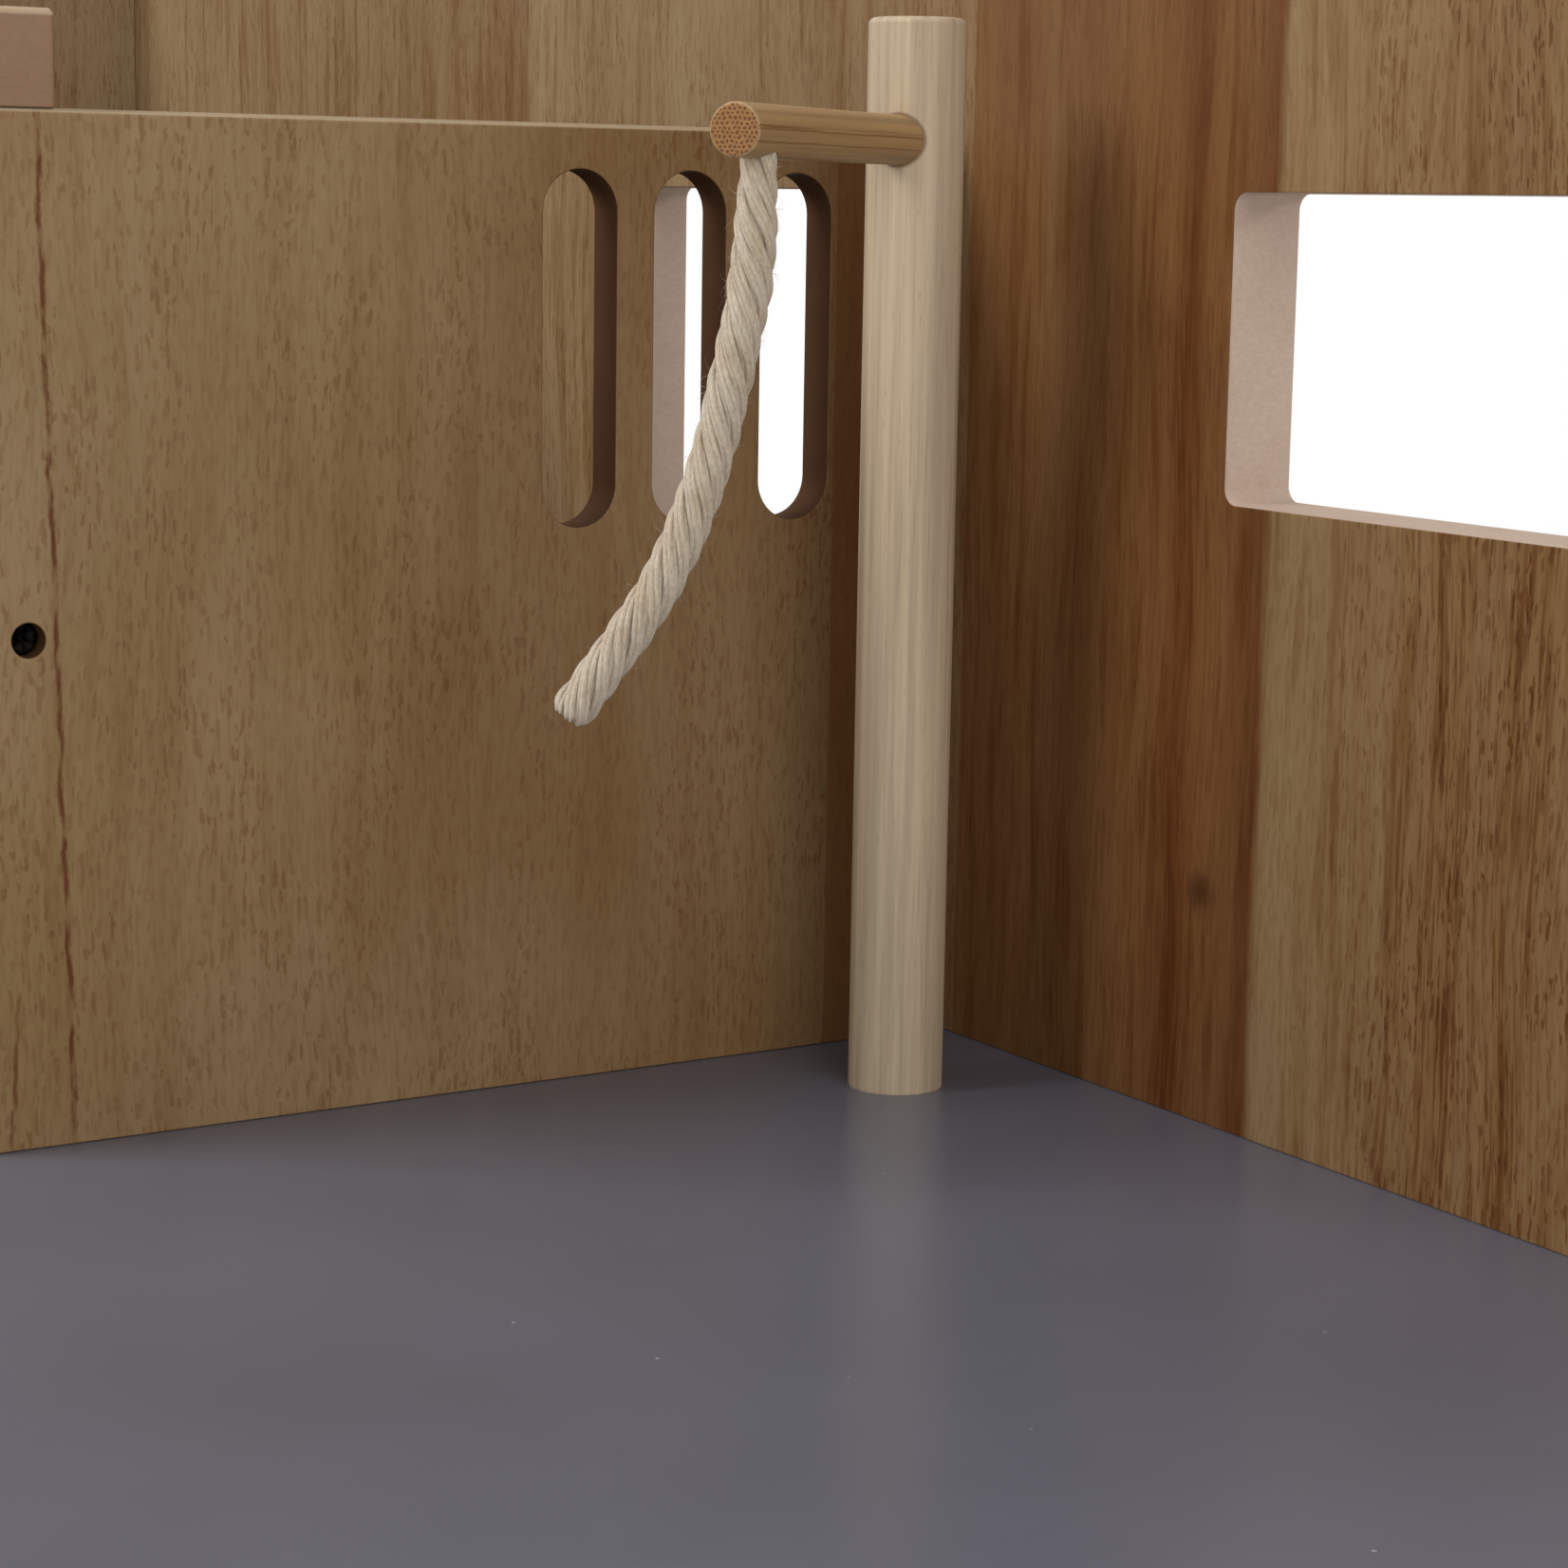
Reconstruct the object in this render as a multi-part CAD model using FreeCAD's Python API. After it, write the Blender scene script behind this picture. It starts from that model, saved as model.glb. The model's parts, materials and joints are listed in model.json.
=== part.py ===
import FreeCAD, Part
import math
import os
from FreeCAD import Vector

# Toy horse stable: a row of stalls with slotted doors and an open wash bay, all on one floor board.
# Millimetres. +Z is up, the stalls open towards -Y and the wash bay is at the +X end.
# The origin is the middle of the floor board's underside.

# Boards
floor_thickness = 9.0
wall_thickness = 10.0
partition_thickness = 6.0
front_thickness = 9.0
edge_round = 0.8

# Layout of the bays
stall_names = ("left", "right")
stall_width = 138.5
stall_depth = 123.5
wash_bay_width = 196.0
apron_depth = 67.5
partition_height = 120.0
front_strip_height = 11.0
wall_rise = 50.0
partition_overhang = 3.5

# Windows in the back wall, heads in line: a deep one to each stall and a shallow one to the wash bay
window_head_height = 112.8
stall_window_height = 64.0
wash_window_height = 36.6
window_left_margin = 56.8
window_right_margin = 9.7
window_corner = 2.0

# Ventilation slots, alike in the partitions and the doors
slot_count = 3
slot_width = 10.3
slot_height = 44.0
slot_bar_width = 5.4
slot_back_margin = 20.0
slot_top_margin = 5.5
door_slot_top_margin = 11.0

# Doorways, doors and their pivots
doorway_width = 76.0
lintel_height = 13.0
door_gap = 1.0
door_stop_gap = 0.3
pin_diameter = 3.0
pin_running_gap = 0.05
pin_door_depth = 14.0
pin_hole_floor = 3.0
pin_top_recess = 1.5
pin_seat_gap = 0.05

# Door stops, glued behind the closing side of each doorway
stop_glue_width = 4.0
stop_lap = 3.0
stop_thickness = 5.0
stop_top_margin = 10.0

# Turned door knobs
knob_height = 54.0
knob_edge_distance = 13.0
knob_head_diameter = 10.0
knob_neck_diameter = 5.4
knob_flange_diameter = 7.6
knob_flange_thickness = 1.4
knob_projection = 12.5
knob_spigot_diameter = 4.0
knob_hole_floor = 2.7

# Turn buttons that hold the doors shut, and their pivot screws
button_length = 26.0
button_width = 9.0
button_thickness = 4.0
button_edge_distance = 8.5
button_height = 54.0
button_running_gap = 0.08
button_face_gap = 0.2
pivot_shank_diameter = 2.8
pivot_head_diameter = 6.0
pivot_head_thickness = 1.9
pivot_hole_floor = 1.5

# Countersunk wood screws
screw_shank_diameter = 2.4
screw_head_diameter = 4.8
screw_head_depth = 1.4
screw_length = 24.0
screw_tip_length = 2.0
screw_sink = 0.3
screw_end_distance = 22.0
screw_low_height = 24.0
screw_high_height = 60.0

# Sunk screw that ties the wash partition to the end of the stall front
sunk_hole_diameter = 4.0
sunk_seat_thickness = 1.8
sunk_head_thickness = 1.8
sunk_screw_length = 22.0

# Wash post with its bamboo boom, turned to the angle at which it rests
post_diameter = 12.0
post_height = 133.2
post_wall_distance = 22.2
post_socket_floor = 2.5
post_running_gap = 0.05
post_seat_gap = 0.05
post_top_round = 0.8
boom_diameter = 6.0
boom_below_top = 14.7
boom_reach = 56.0
boom_angle_deg = -54.4
boom_socket_past_axis = 3.0
boom_end_round = 0.4

# Rope that hangs from the boom as the wash hose
rope_diameter = 5.0
rope_neck_diameter = 4.0
rope_neck_depth = 3.5
rope_end_distance = 7.0
rope_lean_deg = -122.1
rope_arc_share = 0.45

# Route of the rope below the boom: sideways lean, then drop below the boom's axis
rope_route = (
    (0.0, 1.5),
    (0.2, 14.2),
    (2.6, 26.4),
    (5.4, 38.4),
    (9.6, 49.2),
    (16.0, 58.8),
    (20.6, 65.1),
)

# Heights above the floor, and depths into a board, that follow from the sizes above
front_height = partition_height + front_strip_height
wall_height = front_height + wall_rise
doorway_height = front_height - lintel_height
slot_bottom_height = partition_height - slot_top_margin - slot_height
slot_pitch = slot_width + slot_bar_width
boom_height = post_height - boom_below_top
pin_floor_depth = floor_thickness - pin_hole_floor
post_socket_depth = floor_thickness - post_socket_floor
sunk_hole_depth = partition_thickness - sunk_seat_thickness
pivot_screw_grip = front_thickness - pivot_hole_floor
window_width = stall_width - window_left_margin - window_right_margin

# Reference planes
stall_pitch = stall_width + partition_thickness
total_length = wall_thickness + len(stall_names) * stall_pitch + wash_bay_width
total_depth = wall_thickness + stall_depth + front_thickness + apron_depth
left_x = -total_length / 2
right_x = total_length / 2
back_y = total_depth / 2
end_wall_x = left_x + wall_thickness
wash_face_x = end_wall_x + len(stall_names) * stall_pitch
back_inner_y = back_y - wall_thickness
front_inner_y = back_inner_y - stall_depth
front_outer_y = front_inner_y - front_thickness
front_y = -total_depth / 2
floor_z = floor_thickness
wall_top_z = floor_z + wall_height
partition_top_z = floor_z + partition_height
front_top_z = floor_z + front_height
doorway_top_z = floor_z + doorway_height
front_middle_y = (front_inner_y + front_outer_y) / 2

# Door section and post axis that follow from the planes
door_thickness = front_thickness - door_stop_gap
door_middle_y = front_outer_y + door_thickness / 2
door_bottom_z = floor_z + door_gap
door_top_z = doorway_top_z - door_gap
door_slot_bottom_z = door_top_z - door_slot_top_margin - slot_height
knob_spigot_depth = door_thickness - knob_hole_floor
post_x = wash_face_x + post_wall_distance
post_y = back_inner_y - post_wall_distance

UP = Vector(0, 0, 1)
DOWN = Vector(0, 0, -1)
FRONTWARD = Vector(0, -1, 0)
RIGHTWARD = Vector(1, 0, 0)
LEFTWARD = Vector(-1, 0, 0)


def stall_left_x(index):
    """Left inner face of a stall, counted from the end wall."""
    return end_wall_x + index * stall_pitch


def doorway_span(index):
    """Left and right jamb of a stall's doorway, which is in the middle of the stall."""
    left = stall_left_x(index) + (stall_width - doorway_width) / 2
    return left, left + doorway_width


def in_xz(y):
    """Places a drawn point (u, v) in the upright plane at this y."""
    return lambda u, v: Vector(u, y, v)


def in_yz(x):
    """Places a drawn point (u, v) in the upright plane at this x."""
    return lambda u, v: Vector(x, u, v)


def in_xy(z):
    """Places a drawn point (u, v) in the level plane at this z."""
    return lambda u, v: Vector(u, v, z)


def polygon(points, place):
    corners = [place(u, v) for u, v in points]
    return Part.makePolygon(corners + corners[:1])


def rectangle(u0, v0, u1, v1, place):
    return polygon([(u0, v0), (u1, v0), (u1, v1), (u0, v1)], place)


def arc_edge(start, middle, end, place):
    return Part.Arc(place(*start), place(*middle), place(*end)).toShape()


def line_edge(start, end, place):
    return Part.LineSegment(place(*start), place(*end)).toShape()


def rounded_rectangle(u0, v0, u1, v1, radius, place):
    """Rectangle whose four corners are quarter circles."""
    corners = [
        (u1 - radius, v0 + radius, -90),
        (u1 - radius, v1 - radius, 0),
        (u0 + radius, v1 - radius, 90),
        (u0 + radius, v0 + radius, 180),
    ]

    def on_circle(corner, turn):
        u, v, start = corner
        angle = math.radians(start + turn)
        return u + radius * math.cos(angle), v + radius * math.sin(angle)

    edges = []
    for index, corner in enumerate(corners):
        following = corners[(index + 1) % len(corners)]
        edges.append(arc_edge(on_circle(corner, 0), on_circle(corner, 45), on_circle(corner, 90), place))
        if math.dist(on_circle(corner, 90), on_circle(following, 0)) > 1e-6:
            edges.append(line_edge(on_circle(corner, 90), on_circle(following, 0), place))
    return Part.Wire(edges)


def slot_outline(u, v0, width, height, place):
    """Upright slot with full round ends, centred on u."""
    r = width / 2
    return rounded_rectangle(u - r, v0, u + r, v0 + height, r, place)


def panel(outline, openings, thickness_vector):
    """Board cut to an outline, with its openings."""
    face = Part.makeFace([outline] + openings, "Part::FaceMakerBullseye")
    return face.extrude(thickness_vector)


def rounded_edges(shape, radius, wanted):
    """Sands the straight edges that the test accepts."""
    edges = [edge for edge in shape.Edges if edge.Curve.TypeId == "Part::GeomLine" and wanted(edge.BoundBox)]
    return shape.makeFillet(radius, edges)


def same(a, b):
    return abs(a - b) < 1e-4


def turned(profile, centre, direction):
    """Solid of revolution: (radius, distance along direction) points, from the axis back to the axis."""
    wire = polygon(profile, in_xz(0))
    solid = Part.Face(wire).revolve(Vector(0, 0, 0), UP, 360)
    solid.Placement = FreeCAD.Placement(centre, FreeCAD.Rotation(UP, direction))
    return solid


def rod(centre, direction, diameter, length):
    return Part.makeCylinder(diameter / 2, length, centre, direction)


def wood_screw(head_point, direction):
    """Countersunk screw whose head lies just below the board's face at head_point."""
    head_r = screw_head_diameter / 2
    shank_r = screw_shank_diameter / 2
    shank_end = screw_length - screw_tip_length
    profile = [
        (0, screw_sink),
        (head_r, screw_sink),
        (shank_r, screw_sink + screw_head_depth),
        (shank_r, screw_sink + shank_end),
        (0, screw_sink + screw_length),
    ]
    return turned(profile, head_point, direction)


def wood_screw_hole(head_point, direction):
    """Countersunk hole that the screw fills, open to the board's face."""
    sink = rod(head_point, direction, screw_head_diameter, screw_sink)
    return wood_screw(head_point, direction).fuse(sink).removeSplitter()


def drilled(shape, places):
    """Cuts the screw holes at these (head point, direction) places."""
    for head_point, direction in places:
        shape = shape.cut(wood_screw_hole(head_point, direction))
    return shape


def screws(places):
    return Part.makeCompound([wood_screw(head_point, direction) for head_point, direction in places])


# Upright boards: (middle of thickness) of each board that runs from front to back
end_wall_middle_x = left_x + wall_thickness / 2
partition_middle_xs = [stall_left_x(index) + stall_width + partition_thickness / 2
                       for index in range(len(stall_names))]
back_wall_middle_y = back_inner_y + wall_thickness / 2
side_screw_ys = (back_inner_y - screw_end_distance, front_inner_y + screw_end_distance)
screw_zs = (floor_z + screw_low_height, floor_z + screw_high_height)


def bay_middle_x(index):
    """Middle of each stall and, last, of the wash bay."""
    if index < len(stall_names):
        return stall_left_x(index) + stall_width / 2
    return wash_face_x + wash_bay_width / 2


# Screws from below into the back wall, the end wall, the partitions and the piers of the stall front
back_wall_base_places = [(Vector(bay_middle_x(index), back_wall_middle_y, 0), UP)
                         for index in range(len(stall_names) + 1)]
end_wall_base_places = [(Vector(end_wall_middle_x, y, 0), UP) for y in side_screw_ys]
partition_base_places = [(Vector(x, y, 0), UP) for x in partition_middle_xs for y in side_screw_ys]
pier_middle_xs = [(stall_left_x(index) + doorway_span(index)[0]) / 2 for index in range(len(stall_names))]
pier_middle_xs.append((doorway_span(len(stall_names) - 1)[1] + wash_face_x - partition_thickness) / 2)
front_base_places = [(Vector(x, front_middle_y, 0), UP) for x in pier_middle_xs]

# Screws from behind into the edges of the end wall and the partitions
back_joint_places = [(Vector(x, back_y, z), FRONTWARD)
                     for x in [end_wall_middle_x] + partition_middle_xs for z in screw_zs]

# Screws through the end wall into the stall front, and through the front into the inner partitions
end_joint_places = [(Vector(left_x, front_middle_y, z), RIGHTWARD) for z in screw_zs]
front_joint_places = [(Vector(x, front_outer_y, z), -FRONTWARD)
                      for x in partition_middle_xs[:-1] for z in screw_zs]


def floor_board():
    board = Part.makeBox(total_length, total_depth, floor_thickness, Vector(left_x, front_y, 0))

    def corner_or_rim(box):
        upright = same(box.XLength, 0) and same(box.YLength, 0)
        return upright or (same(box.ZMin, floor_z) and not same(box.YMin, back_y))

    board = rounded_edges(board, edge_round, corner_or_rim)
    base_places = back_wall_base_places + end_wall_base_places + partition_base_places + front_base_places
    board = drilled(board, base_places)
    socket_diameter = post_diameter + 2 * post_running_gap
    socket = rod(Vector(post_x, post_y, floor_z), DOWN, socket_diameter, post_socket_depth)
    board = board.cut(socket)
    for index in range(len(stall_names)):
        seat = Vector(door_pivot_x(index), door_middle_y, floor_z)
        board = board.cut(rod(seat, DOWN, pin_diameter + 2 * pin_running_gap, pin_floor_depth))
    return board


def back_wall():
    place = in_xz(back_inner_y)
    outline = rectangle(left_x, floor_z, right_x, wall_top_z, place)
    head = floor_z + window_head_height
    windows = []
    for index, height in enumerate([stall_window_height] * len(stall_names) + [wash_window_height]):
        left = stall_left_x(index) + window_left_margin
        right = left + window_width
        windows.append(rounded_rectangle(left, head - height, right, head, window_corner, place))
    board = panel(outline, windows, Vector(0, wall_thickness, 0))

    def top_or_end(box):
        top = same(box.ZMin, wall_top_z) and box.XLength > wall_thickness
        end = same(box.ZLength, wall_height) and (same(box.XMin, right_x) or same(box.YMin, back_y))
        return top or end

    board = rounded_edges(board, edge_round, top_or_end)
    return drilled(board, back_wall_base_places + back_joint_places)


def end_wall():
    """Side board whose top slopes from the back wall down to the stall front."""
    outline = polygon([
        (back_inner_y, floor_z),
        (back_inner_y, wall_top_z),
        (front_outer_y, front_top_z),
        (front_outer_y, floor_z),
    ], in_yz(left_x))
    board = panel(outline, [], Vector(wall_thickness, 0, 0))

    def slope_or_front(box):
        slope = same(box.ZMax, wall_top_z) and same(box.ZMin, front_top_z)
        front = same(box.ZLength, front_height) and same(box.XMin, left_x)
        return slope or front

    board = rounded_edges(board, edge_round, slope_or_front)
    return drilled(board, end_wall_base_places + back_joint_places + end_joint_places)


def slotted_partition(index, front_end_y, free_front):
    """Board between two bays, with the ventilation slots near its back edge."""
    left = partition_middle_xs[index] - partition_thickness / 2
    place = in_yz(left)
    outline = rectangle(front_end_y, floor_z, back_inner_y, partition_top_z, place)
    slots = []
    for slot in range(slot_count):
        middle = back_inner_y - slot_back_margin - slot_width / 2 - slot * slot_pitch
        slots.append(slot_outline(middle, floor_z + slot_bottom_height, slot_width, slot_height, place))
    board = panel(outline, slots, Vector(partition_thickness, 0, 0))

    def top_or_front(box):
        top = same(box.ZMin, partition_top_z) and same(box.XLength, 0)
        front = same(box.ZLength, partition_height) and same(box.YMin, front_end_y)
        return top or (front and free_front)

    board = rounded_edges(board, edge_round, top_or_front)
    return drilled(board, partition_base_places + back_joint_places + front_joint_places)


def wash_partition():
    """The last partition runs past the stall front, which laps over its top edge."""
    last = len(stall_names) - 1
    board = slotted_partition(last, front_outer_y - partition_overhang, True)
    return board.cut(sunk_screw_hole())


def sunk_screw():
    """Cheese-head screw, sunk from the wash side into the end of the stall front."""
    start = sunk_hole_depth - sunk_head_thickness
    profile = [
        (0, start),
        (sunk_hole_diameter / 2, start),
        (sunk_hole_diameter / 2, sunk_hole_depth),
        (screw_shank_diameter / 2, sunk_hole_depth),
        (screw_shank_diameter / 2, start + sunk_screw_length - screw_tip_length),
        (0, start + sunk_screw_length),
    ]
    return turned(profile, Vector(wash_face_x, front_middle_y, floor_z + screw_high_height), LEFTWARD)


def sunk_screw_hole():
    mouth = Vector(wash_face_x, front_middle_y, floor_z + screw_high_height)
    return sunk_screw().fuse(rod(mouth, LEFTWARD, sunk_hole_diameter, sunk_hole_depth)).removeSplitter()


def door_pivot_x(index):
    """Pivot axis of a door, at the middle of its rounded edge."""
    return doorway_span(index)[0] + door_gap + door_thickness / 2


def button_pivot(index):
    """Point on the stall front about which a turn button turns."""
    return Vector(doorway_span(index)[1] + button_edge_distance, front_outer_y, floor_z + button_height)


def stall_front():
    """One board with a doorway to each stall, and a strip that laps over the wash partition."""
    place = in_xz(front_outer_y)
    piers_end_x = wash_face_x - partition_thickness
    points = [(end_wall_x, front_top_z), (end_wall_x, floor_z)]
    for index in range(len(stall_names)):
        left, right = doorway_span(index)
        points += [(left, floor_z), (left, doorway_top_z), (right, doorway_top_z), (right, floor_z)]
    points += [
        (piers_end_x, floor_z),
        (piers_end_x, partition_top_z),
        (wash_face_x, partition_top_z),
        (wash_face_x, front_top_z),
    ]
    board = panel(polygon(points, place), [], Vector(0, front_thickness, 0))

    def top_or_strip_end(box):
        top = same(box.ZMin, front_top_z) and not same(box.XMax, end_wall_x)
        strip_end = same(box.XMin, wash_face_x) and same(box.ZMin, partition_top_z) and same(box.YLength, 0)
        return top or strip_end

    board = rounded_edges(board, edge_round, top_or_strip_end)
    board = drilled(board, front_base_places + end_joint_places + front_joint_places)
    board = board.cut(sunk_screw_hole())
    for index in range(len(stall_names)):
        lintel = Vector(door_pivot_x(index), door_middle_y, doorway_top_z)
        board = board.cut(rod(lintel, UP, pin_diameter + 2 * pin_running_gap, lintel_height))
        board = board.cut(rod(button_pivot(index), -FRONTWARD, pivot_shank_diameter, pivot_screw_grip))
    return board


def door(index):
    """Slotted door with a rounded pivot edge, so that it turns clear of its jamb."""
    pivot_x = door_pivot_x(index)
    free_x = doorway_span(index)[1] - door_gap
    inner_y = door_middle_y + door_thickness / 2
    place = in_xy(door_bottom_z)
    outline = Part.Wire([
        line_edge((pivot_x, front_outer_y), (free_x, front_outer_y), place),
        line_edge((free_x, front_outer_y), (free_x, inner_y), place),
        line_edge((free_x, inner_y), (pivot_x, inner_y), place),
        arc_edge((pivot_x, inner_y), (pivot_x - door_thickness / 2, door_middle_y),
                 (pivot_x, front_outer_y), place),
    ])
    board = panel(outline, [], Vector(0, 0, door_top_z - door_bottom_z))
    free_edge = (lambda box: same(box.XMin, free_x) and same(box.XMax, free_x)
                 and same(box.ZLength, door_top_z - door_bottom_z))
    board = rounded_edges(board, edge_round, free_edge)
    middle_x = (pivot_x - door_thickness / 2 + free_x) / 2
    cut_place = in_xz(front_outer_y)
    for slot in range(slot_count):
        offset = (slot - (slot_count - 1) / 2) * slot_pitch
        slot_edge = slot_outline(middle_x + offset, door_slot_bottom_z, slot_width, slot_height, cut_place)
        board = board.cut(panel(slot_edge, [], Vector(0, door_thickness, 0)))
    for pin in (upper_pin(index), lower_pin(index)):
        board = board.cut(pin)
    return board.cut(knob_spigot(index))


def upper_pin(index):
    """Pin that is driven down through the lintel into the door's top edge."""
    bottom = Vector(door_pivot_x(index), door_middle_y, door_top_z - pin_door_depth)
    return rod(bottom, UP, pin_diameter, front_top_z - pin_top_recess - bottom.z)


def lower_pin(index):
    """Pin under the door, which stands on the bottom of its hole in the floor board."""
    bottom = Vector(door_pivot_x(index), door_middle_y, floor_z - pin_floor_depth + pin_seat_gap)
    return rod(bottom, UP, pin_diameter, door_bottom_z + pin_door_depth - bottom.z)


def knob_seat(index):
    free_x = doorway_span(index)[1] - door_gap
    return Vector(free_x - knob_edge_distance, front_outer_y, floor_z + knob_height)


def knob_spigot(index):
    return rod(knob_seat(index), -FRONTWARD, knob_spigot_diameter, knob_spigot_depth)


def door_knob(index):
    """Turned knob: flange, waisted neck and ball head, glued in by its spigot."""
    neck_r = knob_neck_diameter / 2
    head_r = knob_head_diameter / 2
    flange_r = knob_flange_diameter / 2
    ball_z = knob_projection - head_r
    neck_top_z = ball_z - math.sqrt(head_r ** 2 - neck_r ** 2)
    waist_depth = (flange_r - neck_r) / 2
    waist_z = (knob_flange_thickness + neck_top_z) / 2
    place = in_xz(0)
    wire = Part.Wire([
        line_edge((0, 0), (flange_r, 0), place),
        line_edge((flange_r, 0), (flange_r, knob_flange_thickness), place),
        arc_edge((flange_r, knob_flange_thickness), (neck_r + waist_depth / 2, waist_z),
                 (neck_r, neck_top_z), place),
        arc_edge((neck_r, neck_top_z), (head_r, ball_z), (0, knob_projection), place),
        line_edge((0, knob_projection), (0, 0), place),
    ])
    solid = Part.Face(wire).revolve(Vector(0, 0, 0), UP, 360)
    solid.Placement = FreeCAD.Placement(knob_seat(index), FreeCAD.Rotation(UP, FRONTWARD))
    return solid.fuse(knob_spigot(index)).removeSplitter()


def door_stop(index):
    """Batten behind the closing jamb that the door shuts against."""
    jamb_x = doorway_span(index)[1]
    width = stop_lap + door_gap + stop_glue_width
    batten = Part.makeBox(width, stop_thickness, doorway_height - stop_top_margin,
                          Vector(jamb_x - door_gap - stop_lap, front_inner_y, floor_z))
    inner_y = front_inner_y + stop_thickness
    return rounded_edges(batten, edge_round, lambda box: same(box.YMin, inner_y) and same(box.XLength, 0))


def turn_button(index):
    """Round-ended button, upright and clear of the door at rest."""
    pivot = button_pivot(index)
    place = in_xz(front_outer_y - button_face_gap)
    r = button_width / 2
    outline = rounded_rectangle(pivot.x - r, pivot.z - button_length / 2, pivot.x + r,
                                pivot.z + button_length / 2, r, place)
    blank = panel(outline, [], Vector(0, -button_thickness, 0))
    outer_y = front_outer_y - button_face_gap - button_thickness
    rim = [edge for edge in blank.Edges
           if same(edge.BoundBox.YMin, outer_y) and same(edge.BoundBox.YLength, 0)]
    blank = blank.makeFillet(edge_round, rim)
    bore = rod(pivot, FRONTWARD, pivot_shank_diameter + 2 * button_running_gap,
               button_face_gap + button_thickness)
    return blank.cut(bore)


def button_screw(index):
    """Round-head screw on which a turn button turns."""
    pivot = button_pivot(index)
    shank_length = pivot_screw_grip + button_thickness + 2 * button_face_gap
    head_base = Vector(pivot.x, pivot.y - button_thickness - 2 * button_face_gap, pivot.z)
    shank = rod(head_base, -FRONTWARD, pivot_shank_diameter, shank_length)
    head_r = pivot_head_diameter / 2
    place = in_xz(0)
    dome_radius = (head_r ** 2 + pivot_head_thickness ** 2) / (2 * pivot_head_thickness)
    dome_angle = math.asin(head_r / dome_radius) / 2
    dome_z = pivot_head_thickness - dome_radius * (1 - math.cos(dome_angle))
    wire = Part.Wire([
        line_edge((0, 0), (head_r, 0), place),
        arc_edge((head_r, 0), (dome_radius * math.sin(dome_angle), dome_z), (0, pivot_head_thickness), place),
        line_edge((0, pivot_head_thickness), (0, 0), place),
    ])
    head = Part.Face(wire).revolve(Vector(0, 0, 0), UP, 360)
    head.Placement = FreeCAD.Placement(head_base, FreeCAD.Rotation(UP, FRONTWARD))
    return head.fuse(shank).removeSplitter()


def boom_direction():
    angle = math.radians(boom_angle_deg)
    return Vector(math.cos(angle), math.sin(angle), 0)


def boom_rod():
    """The plain rod of the boom, from its socket in the post to its free end."""
    start = Vector(post_x, post_y, floor_z + boom_height) - boom_direction() * boom_socket_past_axis
    return rod(start, boom_direction(), boom_diameter, boom_socket_past_axis + boom_reach)


def wash_post():
    """Dowel that turns in a socket in the floor, with a cross hole for the boom."""
    bottom = Vector(post_x, post_y, floor_z - post_socket_depth + post_seat_gap)
    top_z = floor_z + post_height
    dowel = rod(bottom, UP, post_diameter, top_z - bottom.z)
    rim = [edge for edge in dowel.Edges if same(edge.BoundBox.ZMin, top_z)]
    return dowel.makeFillet(post_top_round, rim).cut(boom_rod())


def rope_hang_point():
    """Point on the boom's axis above the rope."""
    axis = Vector(post_x, post_y, floor_z + boom_height)
    return axis + boom_direction() * (boom_reach - rope_end_distance)


def rope_neck():
    """Bound end of the rope, glued into a blind hole under the boom."""
    start = rope_hang_point() + DOWN * (boom_diameter / 2 - rope_neck_depth)
    return rod(start, DOWN, rope_neck_diameter, rope_neck_depth)


def hose_boom():
    end = rope_hang_point() + boom_direction() * rope_end_distance
    bar = boom_rod()
    rim = [edge for edge in bar.Edges
           if edge.Curve.TypeId == "Part::GeomCircle" and same(edge.Curve.Center.distanceToPoint(end), 0)]
    return bar.makeFillet(boom_end_round, rim).cut(rope_neck())


def rope_points():
    """The rope's route in the upright plane in which it leans."""
    lean = math.radians(rope_lean_deg)
    sideways = Vector(math.cos(lean), math.sin(lean), 0)
    return [rope_hang_point() + sideways * offset + DOWN * drop for offset, drop in rope_route]


def smooth_path(points):
    """Straight runs joined by tangent arcs, each of which takes its share of the shorter run."""
    edges = []
    here = points[0]
    for before, corner, after in zip(points, points[1:], points[2:]):
        incoming = corner - before
        outgoing = after - corner
        reach = rope_arc_share * min(incoming.Length, outgoing.Length)
        half_turn = incoming.getAngle(outgoing) / 2
        radius = reach / math.tan(half_turn)
        arc_start = corner - incoming.normalize() * reach
        arc_end = corner + outgoing.normalize() * reach
        inward = (outgoing - incoming).normalize()
        arc_middle = corner + inward * (radius / math.cos(half_turn) - radius)
        edges.append(Part.LineSegment(here, arc_start).toShape())
        edges.append(Part.Arc(arc_start, arc_middle, arc_end).toShape())
        print("rope bend radius", round(radius, 1), "mm")
        here = arc_end
    edges.append(Part.LineSegment(here, points[-1]).toShape())
    return Part.Wire(edges)


def hose_rope():
    """Tube along the rope's route, seated on the boom's underside."""
    points = rope_points()
    path = smooth_path(points)
    section = Part.Wire([Part.makeCircle(rope_diameter / 2, points[0], points[1] - points[0])])
    tube = path.makePipeShell([section], True, False)
    expected = math.pi * rope_diameter ** 2 / 4 * path.Length
    print("rope length", round(path.Length, 1), "mm, volume over section times length",
          round(tube.Volume / expected, 4))
    return tube.cut(boom_rod()).fuse(rope_neck()).removeSplitter()


def write(node, shape):
    solids = shape.Solids
    if not shape.isValid() or not solids:
        raise ValueError("bad shape: " + node)
    if len(solids) == 1:
        shape = solids[0]
    shape.exportStep("parts/" + node + ".step")
    print(node, len(solids), "solid(s)", round(shape.Volume, 1), "mm3")


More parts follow.
